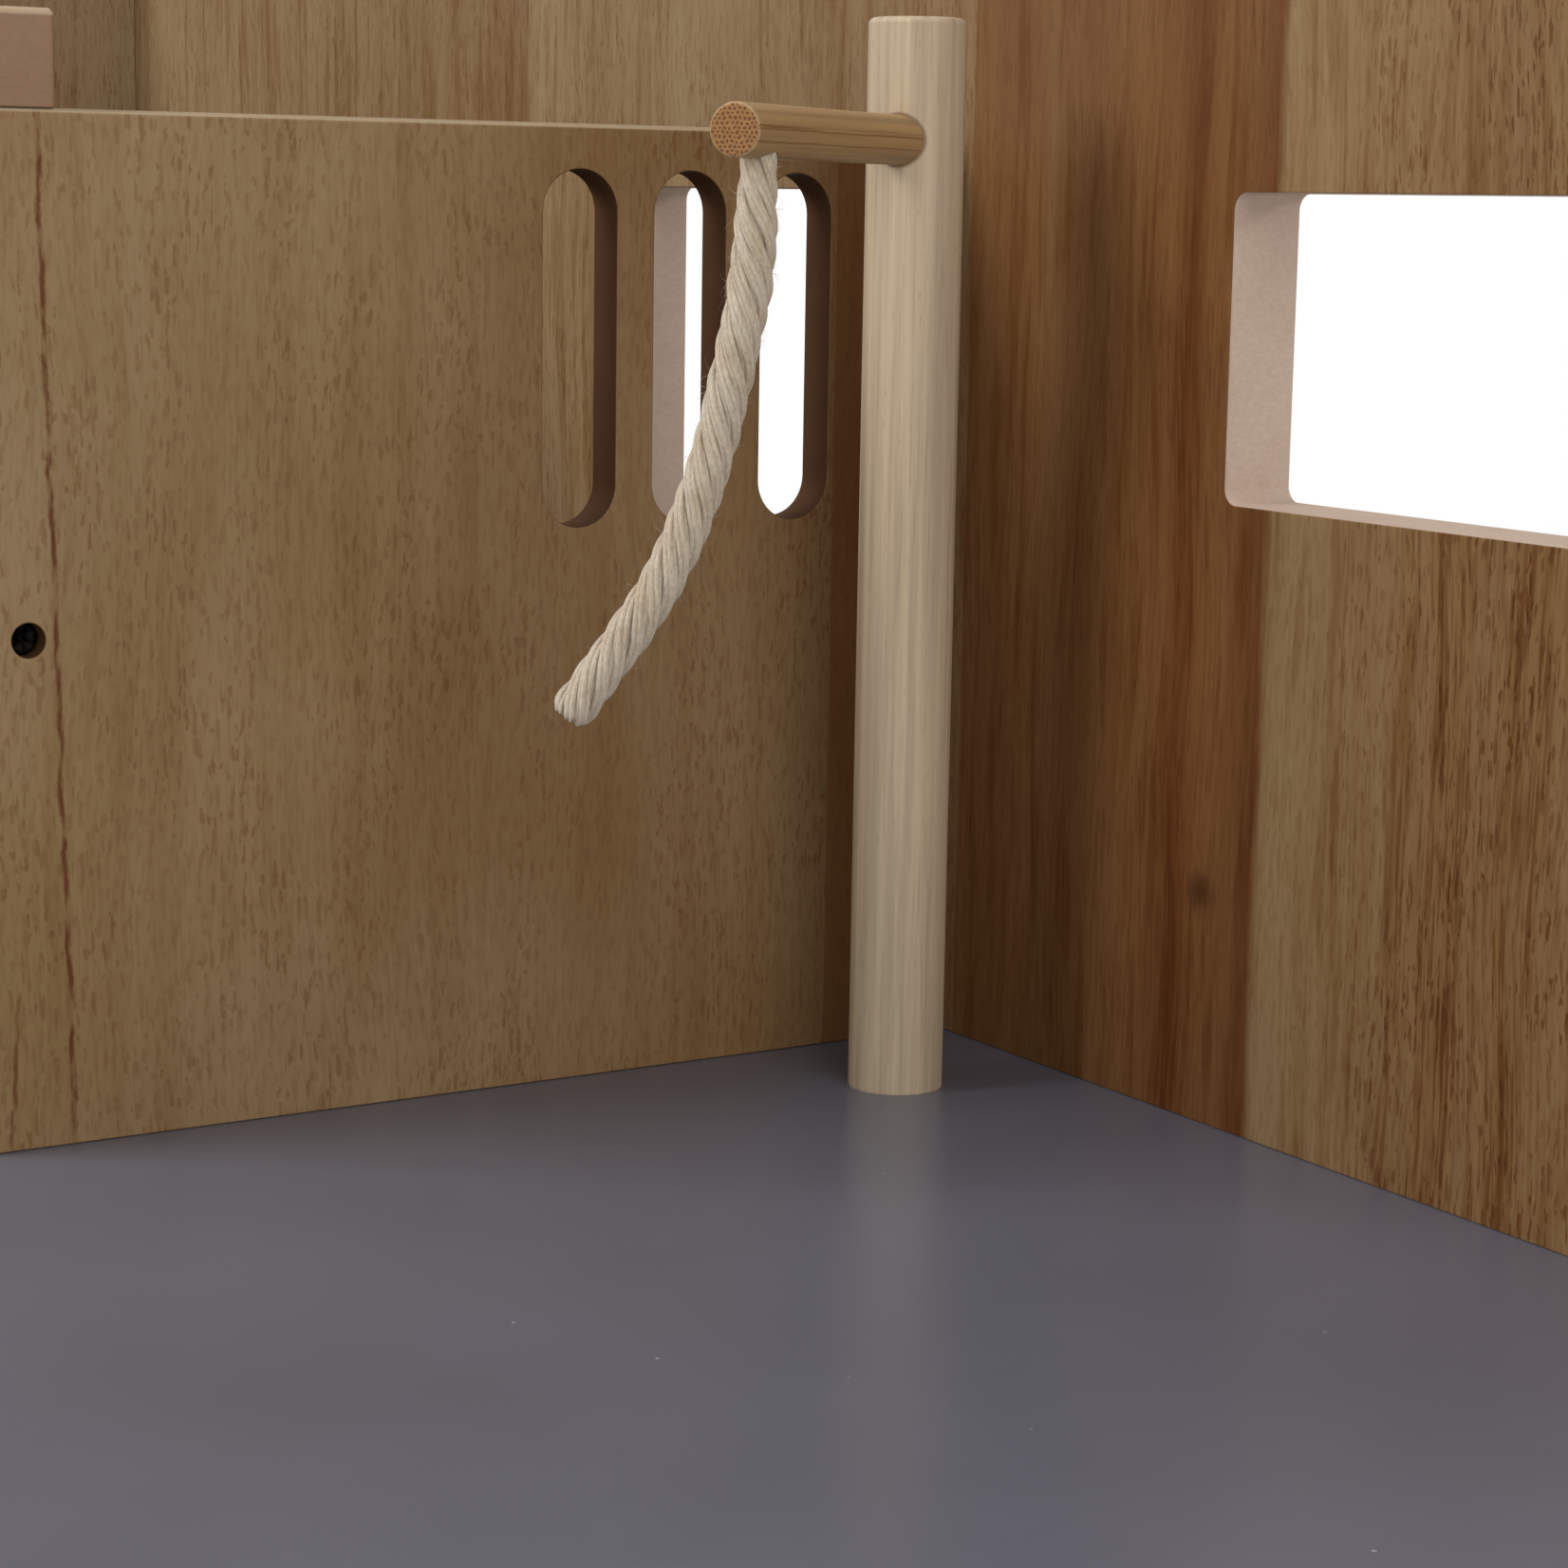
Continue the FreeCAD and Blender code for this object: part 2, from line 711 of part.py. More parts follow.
def main():
    os.makedirs("parts", exist_ok=True)
    write("floor_board", floor_board())
    write("back_wall", back_wall())
    write("end_wall", end_wall())
    write("wash_partition", wash_partition())
    for index in range(len(stall_names) - 1):
        write("stall_partition", slotted_partition(index, front_inner_y, False))
    write("stall_front", stall_front())
    for index, name in enumerate(stall_names):
        write(name + "_door", door(index))
        write(name + "_door_upper_pin", upper_pin(index))
        write(name + "_door_lower_pin", lower_pin(index))
        write(name + "_door_knob", door_knob(index))
        write(name + "_door_stop", door_stop(index))
        write(name + "_turn_button", turn_button(index))
        write(name + "_button_screw", button_screw(index))
    write("wash_post", wash_post())
    write("hose_boom", hose_boom())
    write("hose_rope", hose_rope())
    write("back_wall_base_screws", screws(back_wall_base_places))
    write("end_wall_base_screws", screws(end_wall_base_places))
    write("partition_base_screws", screws(partition_base_places))
    write("front_base_screws", screws(front_base_places))
    write("back_wall_joint_screws", screws(back_joint_places))
    write("end_wall_joint_screws", screws(end_joint_places))
    write("front_joint_screws", screws(front_joint_places))
    write("wash_partition_screw", sunk_screw())


main()
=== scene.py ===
import json
import math
import random
from collections import namedtuple

import bmesh
import bpy
from mathutils import Matrix, Vector


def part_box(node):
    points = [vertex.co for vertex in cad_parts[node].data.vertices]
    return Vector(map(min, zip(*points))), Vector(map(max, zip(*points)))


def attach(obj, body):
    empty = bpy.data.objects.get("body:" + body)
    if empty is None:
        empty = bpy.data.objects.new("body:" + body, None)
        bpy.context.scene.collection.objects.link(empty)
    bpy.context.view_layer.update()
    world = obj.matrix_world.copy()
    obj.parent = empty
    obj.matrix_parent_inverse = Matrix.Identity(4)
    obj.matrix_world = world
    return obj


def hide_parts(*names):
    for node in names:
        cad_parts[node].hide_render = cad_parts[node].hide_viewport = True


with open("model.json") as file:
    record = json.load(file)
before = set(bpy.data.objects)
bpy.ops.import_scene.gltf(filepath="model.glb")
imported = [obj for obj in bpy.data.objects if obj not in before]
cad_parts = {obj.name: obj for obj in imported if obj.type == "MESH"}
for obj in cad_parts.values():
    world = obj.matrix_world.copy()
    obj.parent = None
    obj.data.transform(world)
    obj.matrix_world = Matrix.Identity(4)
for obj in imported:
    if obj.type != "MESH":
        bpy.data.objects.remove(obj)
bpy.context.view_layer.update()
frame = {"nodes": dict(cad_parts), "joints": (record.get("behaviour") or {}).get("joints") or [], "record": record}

# Looks of a toy horse stable: printed beech boards, a satin grey floor, and a wash post with a rope.
# Metres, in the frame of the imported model. Sizes of surface patterns are in millimetres.

MM = 0.001
UP = Vector((0, 0, 1))
WHITE = (1.0, 1.0, 1.0, 1.0)

# Camera at the photograph's viewpoint: yaw turns from -X towards +Y, pitch looks down
CAMERA_PLACE = Vector((0.431924, -0.169281, 0.119775))
CAMERA_YAW_DEG = 32.091
CAMERA_PITCH_DEG = 9.488
CAMERA_ROLL_DEG = 0.925
CAMERA_LENS_MM = 79.79
CAMERA_SENSOR_MM = 36.0
CAMERA_CLIP_START = 0.01

# Rope: it hangs from a point on the boom's axis, and its route is sideways lean, then drop
BOOM_ANGLE_DEG = -54.4
BOOM_HEIGHT = 0.1275
BOOM_RADIUS = 0.003
ROPE_REACH = 0.049
ROPE_LEAN_DEG = -122.1
ROPE_ROUTE = (
    (0.0, 0.0015),
    (0.0002, 0.0142),
    (0.0026, 0.0264),
    (0.0054, 0.0384),
    (0.0096, 0.0492),
    (0.0160, 0.0588),
    (0.0206, 0.0651),
)
ROPE_DIAMETER = 0.005
ROPE_POINTS_PER_SPAN = 26
ROPE_LAY = 0.0205
ROPE_CORE_RADIUS = 0.0013
ROPE_SEED = 7
NECK_SCALE = 0.8
NECK_LENGTH = 0.011
TIP_SCALE = 0.84
TIP_LENGTH = 0.0025
TUBE_SIDES = 8
TUBE_END_SHARE = 0.72
TUBE_TIP_SHARE = 0.4

# Make of the rope: strands of paired plies, each of yarns round a core; ranges are for random draws
STRANDS = 3
PLIES = 2
PLY_SPREAD_DEG = 27.0
PLY_OFFSET = 0.00158
PLY_OFFSET_RANGE = (0.97, 1.04)
PLY_TURN_RANGE = (-0.03, 0.03)
PLY_RADIUS = 0.00096
PLY_CORE_SHARE = 0.62
YARNS = 6
YARN_RADIUS = 0.00039
YARN_RADIUS_RANGE = (0.94, 1.14)
YARN_TURN_RANGE = (-0.15, 0.15)
YARN_LAY = 0.048
YARN_END_STEPS = (0, 0, 1, 1, 2)

# Stray fibres all along the rope, and frayed ones among its first points under the boom
STRAY_FIBRES = 150
FRAYED_FIBRES = 60
FRAYED_POINTS = 22
FIRST_STRAY_POINT = 3
STRAY_STEPS = 5
STRAY_SIDES = 3
STRAY_RADIUS = 0.00002
STRAY_ROOT_SHARE = 1.2
STRAY_TAPER = 0.7
STRAY_SEAT_SHARE = 0.44
STRAY_BEND = 2.2
STRAY_REACH_RANGE = (0.0003, 0.0011)
STRAY_SWEEP = 0.002

# Screws: countersunk and cheese heads in the boards, and the round heads of the button screws
SCREW_APART = 0.03
SCREW_SHANK_RADIUS = 0.0012
SCREW_TIP_LENGTH = 0.002
SCREW_POINT_SHARE = 0.3
SUNK_HEAD_DEPTH = 0.0014
SUNK_RIM_SHARE = 0.97
SUNK_RIM_DEPTH = 0.00008
CHEESE_TOP_SHARE = 0.9
CHEESE_SIDE_SHARE = 0.97
CHEESE_EDGE_DEPTH = 0.0001
CHEESE_DEPTH_SHARE = 0.9
BUTTON_SHANK_RADIUS = 0.0014
BUTTON_HEAD_THICKNESS = 0.0019
BUTTON_DOME_SHARES = (0.68, 0.8, 0.9, 0.97, 1.0)
CROSS_ARM_LENGTH = 0.62
CROSS_ARM_HALF_WIDTH = 0.15
CROSS_DEPTH = 0.5
CROSS_FLOOR_SHARE = 0.55
CROSS_POINT_SHARE = 1.15
BASE_SCREWS = (
    "back_wall_base_screws",
    "end_wall_base_screws",
    "partition_base_screws",
    "front_base_screws",
)

# Small rounding of the boards' sawn edges
EDGE_ROUND = 0.00025
EDGE_ROUND_FROM_DEG = 60.0
EDGE_SEGMENTS = 2
WELD_DISTANCE = 0.000002

# Print of the boards: seven staves of 62 mm, repeated; each stop is (mm across, colour or share),
# and in the table of tones each stave starts a new line
PRINT_PERIOD = 434.0
PRINT_TONES = (
    (0.0, (134, 100, 65)), (8.0, (124, 88, 54)), (16.0, (134, 101, 67)), (26.0, (122, 87, 54)),
    (36.0, (132, 97, 62)), (43.0, (122, 85, 51)), (46.5, (106, 66, 35)), (50.0, (122, 85, 50)),
    (57.0, (122, 86, 53)), (60.0, (110, 73, 42)), (61.9, (112, 75, 45)),
    (62.1, (147, 124, 91)), (76.0, (144, 119, 86)), (88.0, (138, 112, 79)), (100.0, (132, 105, 73)),
    (112.0, (137, 111, 78)), (123.9, (144, 118, 85)),
    (124.1, (155, 132, 100)), (155.0, (157, 135, 103)), (185.9, (153, 129, 97)),
    (186.1, (156, 134, 102)), (215.0, (153, 130, 98)), (247.9, (149, 126, 94)),
    (248.1, (149, 126, 95)), (285.0, (146, 121, 89)), (309.9, (140, 113, 81)),
    (310.1, (160, 138, 106)), (340.0, (155, 132, 100)), (371.9, (156, 133, 101)),
    (372.1, (153, 129, 97)), (395.0, (148, 123, 91)), (433.9, (145, 119, 87)),
)
PRINT_FLECKS = (
    (0.0, 0.25), (50.0, 0.35), (62.0, 0.3), (74.0, 0.4), (84.0, 0.9), (112.0, 1.0),
    (124.0, 0.7), (186.0, 0.5), (248.0, 0.65), (310.0, 0.55), (433.9, 0.6),
)
PRINT_VEINS = (
    (0.0, 0.15), (43.0, 0.3), (46.0, 0.8), (50.0, 0.2), (61.9, 0.3), (62.1, 0.05),
    (74.5, 0.1), (76.0, 0.4), (77.5, 0.1), (79.0, 0.15), (80.5, 0.45), (82.0, 0.15),
    (84.5, 0.2), (86.0, 0.7), (87.5, 0.2), (90.5, 0.3), (92.0, 0.95), (93.7, 0.3),
    (95.5, 0.95), (97.5, 0.2), (99.5, 0.25), (100.8, 0.7), (102.2, 0.25), (104.0, 1.0),
    (105.8, 0.3), (108.0, 0.75), (110.0, 0.25), (124.0, 0.05), (236.0, 0.1), (300.0, 0.3),
    (311.0, 0.1), (433.9, 0.12),
)

# Patterns of the boards: sizes across the grain, along it and through the board
WANDER_SIZE = (24.0, 60.0, 400.0)
WANDER_REACH = 6.0
STREAK_SIZE = (5.0, 170.0, 60.0)
SOFT_STREAK_SIZE = (1.8, 24.0, 60.0)
FINE_GRAIN_SIZE = (0.4, 4.5, 40.0)
# Broad clouds of darkening: partly staining, partly painted shade
STAIN_AND_SHADE_SIZE = (38.0, 55.0, 400.0)
FIGURE_PATCH_SIZE = (4.0, 34.0, 60.0)
FIGURE_DRIFT = 0.012
# Heights in mm over which the figure fades out, painting the boards lighter towards the top as if lit from above
FIGURE_FADES_FROM = 75.0
FIGURE_FADES_TO = 150.0
VEIN_SIZE = (0.5, 12.0, 40.0)
FLECK_CLUSTER_SIZE = (9.0, 20.0, 90.0)
SMALL_FLECK_SHARE = 0.72
DASH_RAGGED_SHARE = 0.6
DASH_RAGGED_DEPTH = 30.0
DASH_RAGGED_REACH = (0.8, 1.6, 0.0)
STREAK_TINT = (216, 196, 164)
FINE_GRAIN_TINT = (206, 188, 166)
# Tint of the cloudy darkening, partly staining and partly painted shade
STAIN_AND_SHADE_TINT = (222, 208, 186)
FIGURE_TINT = (234, 212, 182)
VEIN_TINT = (184, 140, 92)
FLECK_TINT = (194, 160, 116)
# Pale of the boards' top edges, partly wear and partly a painted highlight; the bamboo's cut ends also use it for
# their pale rim
PALE_WEAR_AND_HIGHLIGHT = (196, 176, 146)

# Flecks: mean spacing across the grain and along it, and strength
LONG_FLECKS = (1.15, 4.8, 1.0)
SHORT_FLECKS = (1.3, 3.8, 0.9)

# Cracks: place across at the top, drift per mm down, half width, strength, lowest and highest point
LONG_CRACK = (-31.0, 0.021, 0.55, 0.9, 9.0, 129.0)
SHORT_CRACK = (-35.0, -0.07, 0.4, 0.7, 9.0, 28.0)
CRACK_SHIVER_SIZE = (400.0, 6.0, 400.0)
CRACK_SHIVER_REACH = 1.6
CRACK_BEAT_SIZE = (0.9, 4.5, 400.0)
CRACK_COLOUR = (90, 47, 18)

# Knot: place across, height and radius
WALL_KNOT = (106.5, 37.7, 3.8)
KNOT_COLOUR = (58, 32, 15)

# Cut edges of pressed fibre
BOARD_CORE = (184, 163, 147)
FRONT_CORE = (140, 112, 90)
PARTITION_CORE = (80, 53, 32)
FIBRE_SIZE = (0.45, 0.45, 0.8)
FIBRE_CLOUD_SIZE = (7.0, 7.0, 7.0)
FIBRE_CLOUD_TINT = (236, 224, 214)
FIBRE_SPECK_SIZE = (1.3, 1.3, 1.7)
FIBRE_SPECK_TINT = (176, 142, 118)

# Both partitions: dark core, short flecks, hardly any figure and much cloudy darkening, which is partly staining
# and partly painted shade
PARTITION_LOOK = {"core_colour": PARTITION_CORE, "flecks": SHORT_FLECKS, "figured": 0.1, "stained": 0.9}

# Floor's lacquer
FLOOR_GREY = (93, 94, 105)
FLOOR_CLOUD_SIZE = (40.0, 40.0, 40.0)
FLOOR_PEEL_SIZE = (1.4, 1.4, 1.4)
DUST_SIZE = (7.0, 7.0, 7.0)
DUST_RADIUS = 0.05
DUST_COLOUR = (176, 170, 168)

# Solid beech of the small fittings
BATTEN_DARK = (134, 102, 66)
BATTEN_LIGHT = (150, 120, 82)
BATTEN_STREAK_SIZE = (1.8, 1.8, 60.0)
BATTEN_GRAIN_SIZE = (0.3, 0.3, 9.0)
BATTEN_GRAIN_TINT = (206, 184, 158)
BATTEN_FLECK_SIZE = (1.1, 1.1, 3.8)

# Dowels: sizes across and along
DOWEL_PALE = (182, 163, 136)
DOWEL_STREAK_SIZE = (1.5, 70.0)
DOWEL_GRAIN_SIZE = (0.25, 12.0)
DOWEL_GRAIN_TINT = (204, 178, 146)
PORE_SIZE = (0.9, 3.4)
PORE_COLOUR = (142, 108, 72)
# Painted contact shade in a ring round the boom's hole in the post
HOLE_RIM_SHADE = (112, 80, 50)

# Bamboo: sizes along the boom, level and up; lines are (degrees round the rod, half width, strength)
BAMBOO_TAN = (160, 129, 88)
BAMBOO_PITH = (146, 106, 64)
BAMBOO_STREAK_SIZE = (90.0, 0.8, 0.8)
BAMBOO_STRAND_SIZE = (55.0, 0.62, 0.62)
BAMBOO_STRAND_TINT = (178, 142, 98)
BAMBOO_LINES = (
    (12.0, 0.09, 0.3),
    (3.0, 0.13, 0.6),
    (-24.0, 0.12, 0.55),
    (70.0, 0.12, 0.4),
    (160.0, 0.12, 0.6),
)
BAMBOO_LINE_SWAY = 0.12
BAMBOO_LINE_TINT = (158, 118, 78)
BAMBOO_DOT = (86, 48, 24)
BAMBOO_DOT_PITCH = 0.58
BAMBOO_WOBBLE_SIZE = (400.0, 0.7, 0.7)
BAMBOO_SWAY_SIZE = (400.0, 1.1, 1.1)

# Cotton and steel
COTTON_WHITE = (196, 182, 162)
COTTON_FIBRE_SIZE = (0.16, 0.16, 0.9)
COTTON_SOIL_SIZE = (3.0, 3.0, 5.0)
COTTON_SOIL_TINT = (224, 208, 180)
ZINC_BRIGHT = (196, 196, 192)
# Near black for the screw deep in the partition's hole, a painted shade standing for the dark inside of the hole
HOLE_SHADE_BLACK = (24, 22, 21)
STEEL_HAZE_SIZE = (1.1, 1.1, 1.1)
STEEL_SCRATCH_SIZE = (0.15, 0.15, 1.4)

# Most of a noise's values lie between these two
NOISE_MIDDLE = (0.3, 0.7)

# Studio: the floor turns white between two distances, and a lamp has place, target, size, watts and
# whether gloss shows it
STAGE_HALF_SIZE = 12.0
STAGE_DROP = 0.0002
STAGE_GREY = (0.78, 0.78, 0.78, 1.0)
STAGE_FADE = (0.42, 0.95)
AMBIENT = 0.3
WASH_BAY = (0.12, 0.02, 0.07)
LAMPS = {
    "key": ((-0.38, -1.09, 1.10), WASH_BAY, 0.7, 18.8, True),
    "fill": ((1.50, -0.30, 0.65), WASH_BAY, 1.3, 12.6, True),
    "overhead": ((0.0, 0.1, 1.7), (0.0, 0.0, 0.0), 1.2, 4.2, True),
    "rear": ((0.75, 1.40, 0.75), (0.0, 0.1, 0.09), 0.5, 9.5, False),
}

Station = namedtuple("Station", "point distance tangent across aside")


def linear(colour):
    """Linear RGBA of an 8-bit sRGB colour."""
    shares = [value / 255 for value in colour]
    return tuple(s / 12.92 if s <= 0.04045 else ((s + 0.055) / 1.055) ** 2.4 for s in shares) + (1.0,)


def scaled(values, share):
    """Each value of a colour or size times a share."""
    return tuple(value * share for value in values)


class NodeSteps:
    """Small steps in a node tree. Sockets and constants go in, a socket comes out."""

    def __init__(self, tree):
        self.tree = tree

    def feed(self, socket, value):
        """Links a socket to an input, or sets the input to a constant."""
        if isinstance(value, bpy.types.NodeSocket):
            self.tree.links.new(value, socket)
        else:
            socket.default_value = value

    def node(self, kind, inputs=(), **settings):
        made = self.tree.nodes.new("ShaderNode" + kind)
        for key, value in settings.items():
            setattr(made, key, value)
        for key, value in inputs:
            self.feed(made.inputs[key], value)
        return made

    def math(self, operation, *values):
        return self.node("Math", enumerate(values), operation=operation).outputs[0]

    def seen_ray(self):
        """1 for rays by which the background is seen: straight, in gloss or through glass."""
        rays = self.node("LightPath").outputs
        seen = self.math("MAXIMUM", rays["Is Camera Ray"], rays["Is Glossy Ray"])
        return self.math("MAXIMUM", seen, rays["Is Transmission Ray"])


class Finish(NodeSteps):
    """One procedural material, with constants set on its shader's own sockets."""

    def __init__(self, name, **constants):
        self.material = bpy.data.materials.new(name)
        self.material.use_nodes = True
        super().__init__(self.material.node_tree)
        self.shader = self.tree.nodes["Principled BSDF"]
        for socket, value in constants.items():
            self.feed(self.shader.inputs[socket.replace("_", " ")], value)
        self.place = self.node("TexCoord")

    def vector_math(self, operation, *values):
        return self.node("VectorMath", enumerate(values), operation=operation).outputs[0]

    def length(self, vector):
        return self.node("VectorMath", [(0, vector)], operation="LENGTH").outputs[1]

    def combine(self, x, y, z):
        return self.node("CombineXYZ", enumerate((x, y, z))).outputs[0]

    def split(self, vector):
        return self.node("SeparateXYZ", [(0, vector)]).outputs

    def millimetres(self):
        """The point on the object, in millimetres."""
        return self.vector_math("MULTIPLY", self.place.outputs["Object"], (1 / MM, 1 / MM, 1 / MM))

    def sized(self, point, sizes):
        """The point in units of a pattern's own size, in millimetres along each axis."""
        return self.vector_math("DIVIDE", point, sizes)

    def step(self, value, low, high, to_low=0.0, to_high=1.0):
        """Smooth step of value from low to high."""
        inputs = [(0, value), (1, low), (2, high), (3, to_low), (4, to_high)]
        return self.node("MapRange", inputs, interpolation_type="SMOOTHSTEP").outputs[0]

    def mix(self, share, first, second):
        """First colour at share 0, second at share 1."""
        colours = [c if isinstance(c, bpy.types.NodeSocket) else linear(c) for c in (first, second)]
        made = self.node("Mix", [(0, share), (6, colours[0]), (7, colours[1])], data_type="RGBA")
        return made.outputs[2]

    def vary(self, noise, colour, low, high):
        """A colour that goes from a low share of itself to a high one with a noise."""
        return self.mix(self.step(noise, *NOISE_MIDDLE), scaled(colour, low), scaled(colour, high))

    def darken(self, colour, share, tint):
        """Multiplies the colour by a tint, to the given share."""
        inputs = [(0, share), (6, colour), (7, linear(tint))]
        return self.node("Mix", inputs, data_type="RGBA", blend_type="MULTIPLY").outputs[2]

    def ramp(self, value, stops):
        """Colour that follows (position from 0 to 1, RGBA) stops."""
        made = self.node("ValToRGB", [(0, value)])
        elements = made.color_ramp.elements
        while len(elements) < len(stops):
            elements.new(0.5)
        positions, colours = zip(*stops)
        for element, position in zip(elements, positions):
            element.position = position
        for element, colour in zip(elements, colours):
            element.color = colour
        return made.outputs[0]

    def noise(self, point, detail=2.0, roughness=0.5):
        inputs = [("Vector", point), ("Scale", 1.0), ("Detail", detail), ("Roughness", roughness)]
        return self.node("TexNoise", inputs).outputs[0]

    def cells(self, point, dimensions="3D"):
        """Distance to the nearest scattered point, and that point's own random numbers."""
        inputs = [("Vector", point), ("Scale", 1.0), ("Randomness", 1.0)]
        made = self.node("TexVoronoi", inputs, voronoi_dimensions=dimensions)
        return made.outputs["Distance"], made.outputs["Color"]

    def specks(self, point, sizes, radius, core):
        """Separate specks of random strength, full within the core and gone at the radius."""
        distance, chance = self.cells(self.sized(point, sizes))
        return self.math("MULTIPLY", self.step(distance, radius, core), self.split(chance)[0])

    def dashes(self, point, size, radius):
        """Separate ragged spots, each of its own strength, spaced by size along the first two axes."""
        ragged_size = (*scaled(size, DASH_RAGGED_SHARE), DASH_RAGGED_DEPTH)
        ragged = self.node("TexNoise", [("Vector", self.sized(point, ragged_size)), ("Scale", 1.0)])
        shift = self.vector_math("SUBTRACT", ragged.outputs["Color"], (0.5, 0.5, 0.5))
        place = self.sized(point, (*size, 1.0))
        shifted = self.vector_math("MULTIPLY_ADD", shift, DASH_RAGGED_REACH, place)
        distance, chance = self.cells(shifted, "2D")
        strength = self.step(self.split(chance)[0], 0.1, 0.9, 0.2, 1.0)
        return self.math("MULTIPLY", self.step(distance, radius, radius * 0.4), strength)

    def hexagonal(self, across, up, pitch):
        """Distance to the nearest point of a lattice of equal triangles."""
        row = pitch * math.sqrt(3)

        def away(value, shift, spacing):
            part = self.math("FRACT", self.math("DIVIDE", self.math("ADD", value, shift), spacing))
            return self.math("MULTIPLY", self.math("SUBTRACT", part, 0.5), spacing)

        distances = []
        for share in (0.0, 0.5):
            offset = self.combine(away(across, share * pitch, pitch), away(up, share * row, row), 0.0)
            distances.append(self.length(offset))
        return self.math("MINIMUM", *distances)

    def bump(self, height, strength, depth_mm):
        inputs = [("Strength", strength), ("Distance", depth_mm * MM), ("Height", height)]
        self.feed(self.shader.inputs["Normal"], self.node("Bump", inputs).outputs[0])

    def colour(self, value):
        self.feed(self.shader.inputs["Base Color"], value)

    def roughness(self, base, *changes):
        """Base roughness, to which each (noise or mask, share) adds its share."""
        value = base
        for socket, share in changes:
            value = self.math("MULTIPLY_ADD", socket, share, value)
        self.feed(self.shader.inputs["Roughness"], value)


def pressed_fibre(finish, point, base=BOARD_CORE):
    """Cut edge of a pressed-fibre board: smooth fine fibre with faint clouds and a few specks."""
    fibre = finish.noise(finish.sized(point, FIBRE_SIZE), detail=3.0, roughness=0.6)
    cloud = finish.noise(finish.sized(point, FIBRE_CLOUD_SIZE))
    colour = finish.vary(fibre, base, 0.98, 1.02)
    colour = finish.darken(colour, finish.step(cloud, 0.35, 0.8, 0.0, 0.3), FIBRE_CLOUD_TINT)
    speck = finish.specks(point, FIBRE_SPECK_SIZE, 0.16, 0.06)
    return finish.darken(colour, finish.math("MULTIPLY", speck, 0.25), FIBRE_SPECK_TINT), fibre


def board_place(finish, across):
    """Point across a board's grain, along it and through it, and how squarely its surface faces out."""
    place = finish.split(finish.millimetres())
    normal = finish.split(finish.place.outputs["Normal"])
    side, through = (0, 1) if across == "X" else (1, 0)
    point = finish.combine(place[side], place[2], place[through])
    return point, finish.math("ABSOLUTE", normal[through])


def print_shares(table):
    """Ramp stops of a share that changes across the print."""
    return [(mm / PRINT_PERIOD, (share, share, share, 1.0)) for mm, share in table]


def printed_grain(finish, share, point, grain_point, figured, stained):
    """Tones of the staves with streaks, fine grain and cloudy darkening that is partly real staining and partly
    painted shade, and the fine grain's noise.
    """
    colour = finish.ramp(share, [(mm / PRINT_PERIOD, linear(tone)) for mm, tone in PRINT_TONES])
    streak = finish.noise(finish.sized(grain_point, STREAK_SIZE), detail=3.0, roughness=0.6)
    colour = finish.darken(colour, finish.step(streak, 0.38, 0.72, 0.0, 0.25 + 0.2 * figured), STREAK_TINT)
    soft_streak = finish.noise(finish.sized(grain_point, SOFT_STREAK_SIZE), detail=1.0)
    soft_share = finish.step(soft_streak, 0.5, 0.7, 0.0, 0.15 + 0.45 * figured)
    colour = finish.darken(colour, soft_share, STREAK_TINT)
    fine = finish.noise(finish.sized(grain_point, FINE_GRAIN_SIZE))
    colour = finish.darken(colour, finish.step(fine, 0.42, 0.74, 0.0, 0.3), FINE_GRAIN_TINT)
    # Cloudy darkening, partly staining and partly painted shade in broad patches; the partitions get the most of
    # it
    cloud = finish.noise(finish.sized(point, STAIN_AND_SHADE_SIZE))
    stain = finish.step(cloud, *NOISE_MIDDLE, 0.4 * stained, stained)
    return finish.darken(colour, stain, STAIN_AND_SHADE_TINT), fine


def veined(finish, colour, share, wander, grain_point, figured):
    """Darker figure in bands of the print, with thin broken veins; it fades out towards the top, a painted light
    that makes the boards lighter up high.
    """
    height = finish.split(grain_point)[1]
    drifting = finish.math("MULTIPLY_ADD", finish.math("SUBTRACT", wander, 0.5), FIGURE_DRIFT, share)
    figure = finish.ramp(drifting, print_shares(PRINT_VEINS))
    patch = finish.noise(finish.sized(grain_point, FIGURE_PATCH_SIZE))
    figure = finish.math("MULTIPLY", figure, finish.step(patch, 0.3, 0.6, 0.35 * figured, figured))
    # Painted light: the figure fades out towards the top, so the upper boards read lighter, as if lit from above
    top_light_fade = finish.step(height, FIGURE_FADES_TO, FIGURE_FADES_FROM, 0.25, 1.0)
    figure = finish.math("MULTIPLY", figure, top_light_fade)
    colour = finish.darken(colour, figure, FIGURE_TINT)
    vein = finish.noise(finish.sized(grain_point, VEIN_SIZE), detail=1.0)
    return finish.darken(colour, finish.math("MULTIPLY", finish.step(vein, 0.46, 0.6), figure), VEIN_TINT)


def fleck_marks(finish, share, point, grain_point, flecks):
    """Short dark dashes in two sizes, gathered in loose clusters."""
    across, along, strength = flecks
    cluster = finish.noise(finish.sized(point, FLECK_CLUSTER_SIZE), detail=1.0)
    gathered = finish.step(cluster, 0.3, 0.65, 0.4 * strength, strength)
    gathered = finish.math("MULTIPLY", finish.ramp(share, print_shares(PRINT_FLECKS)), gathered)
    large = finish.dashes(grain_point, (across, along), 0.34)
    small = finish.dashes(grain_point, scaled((across, along), SMALL_FLECK_SHARE), 0.32)
    return finish.math("MULTIPLY", finish.math("MAXIMUM", large, small), gathered)


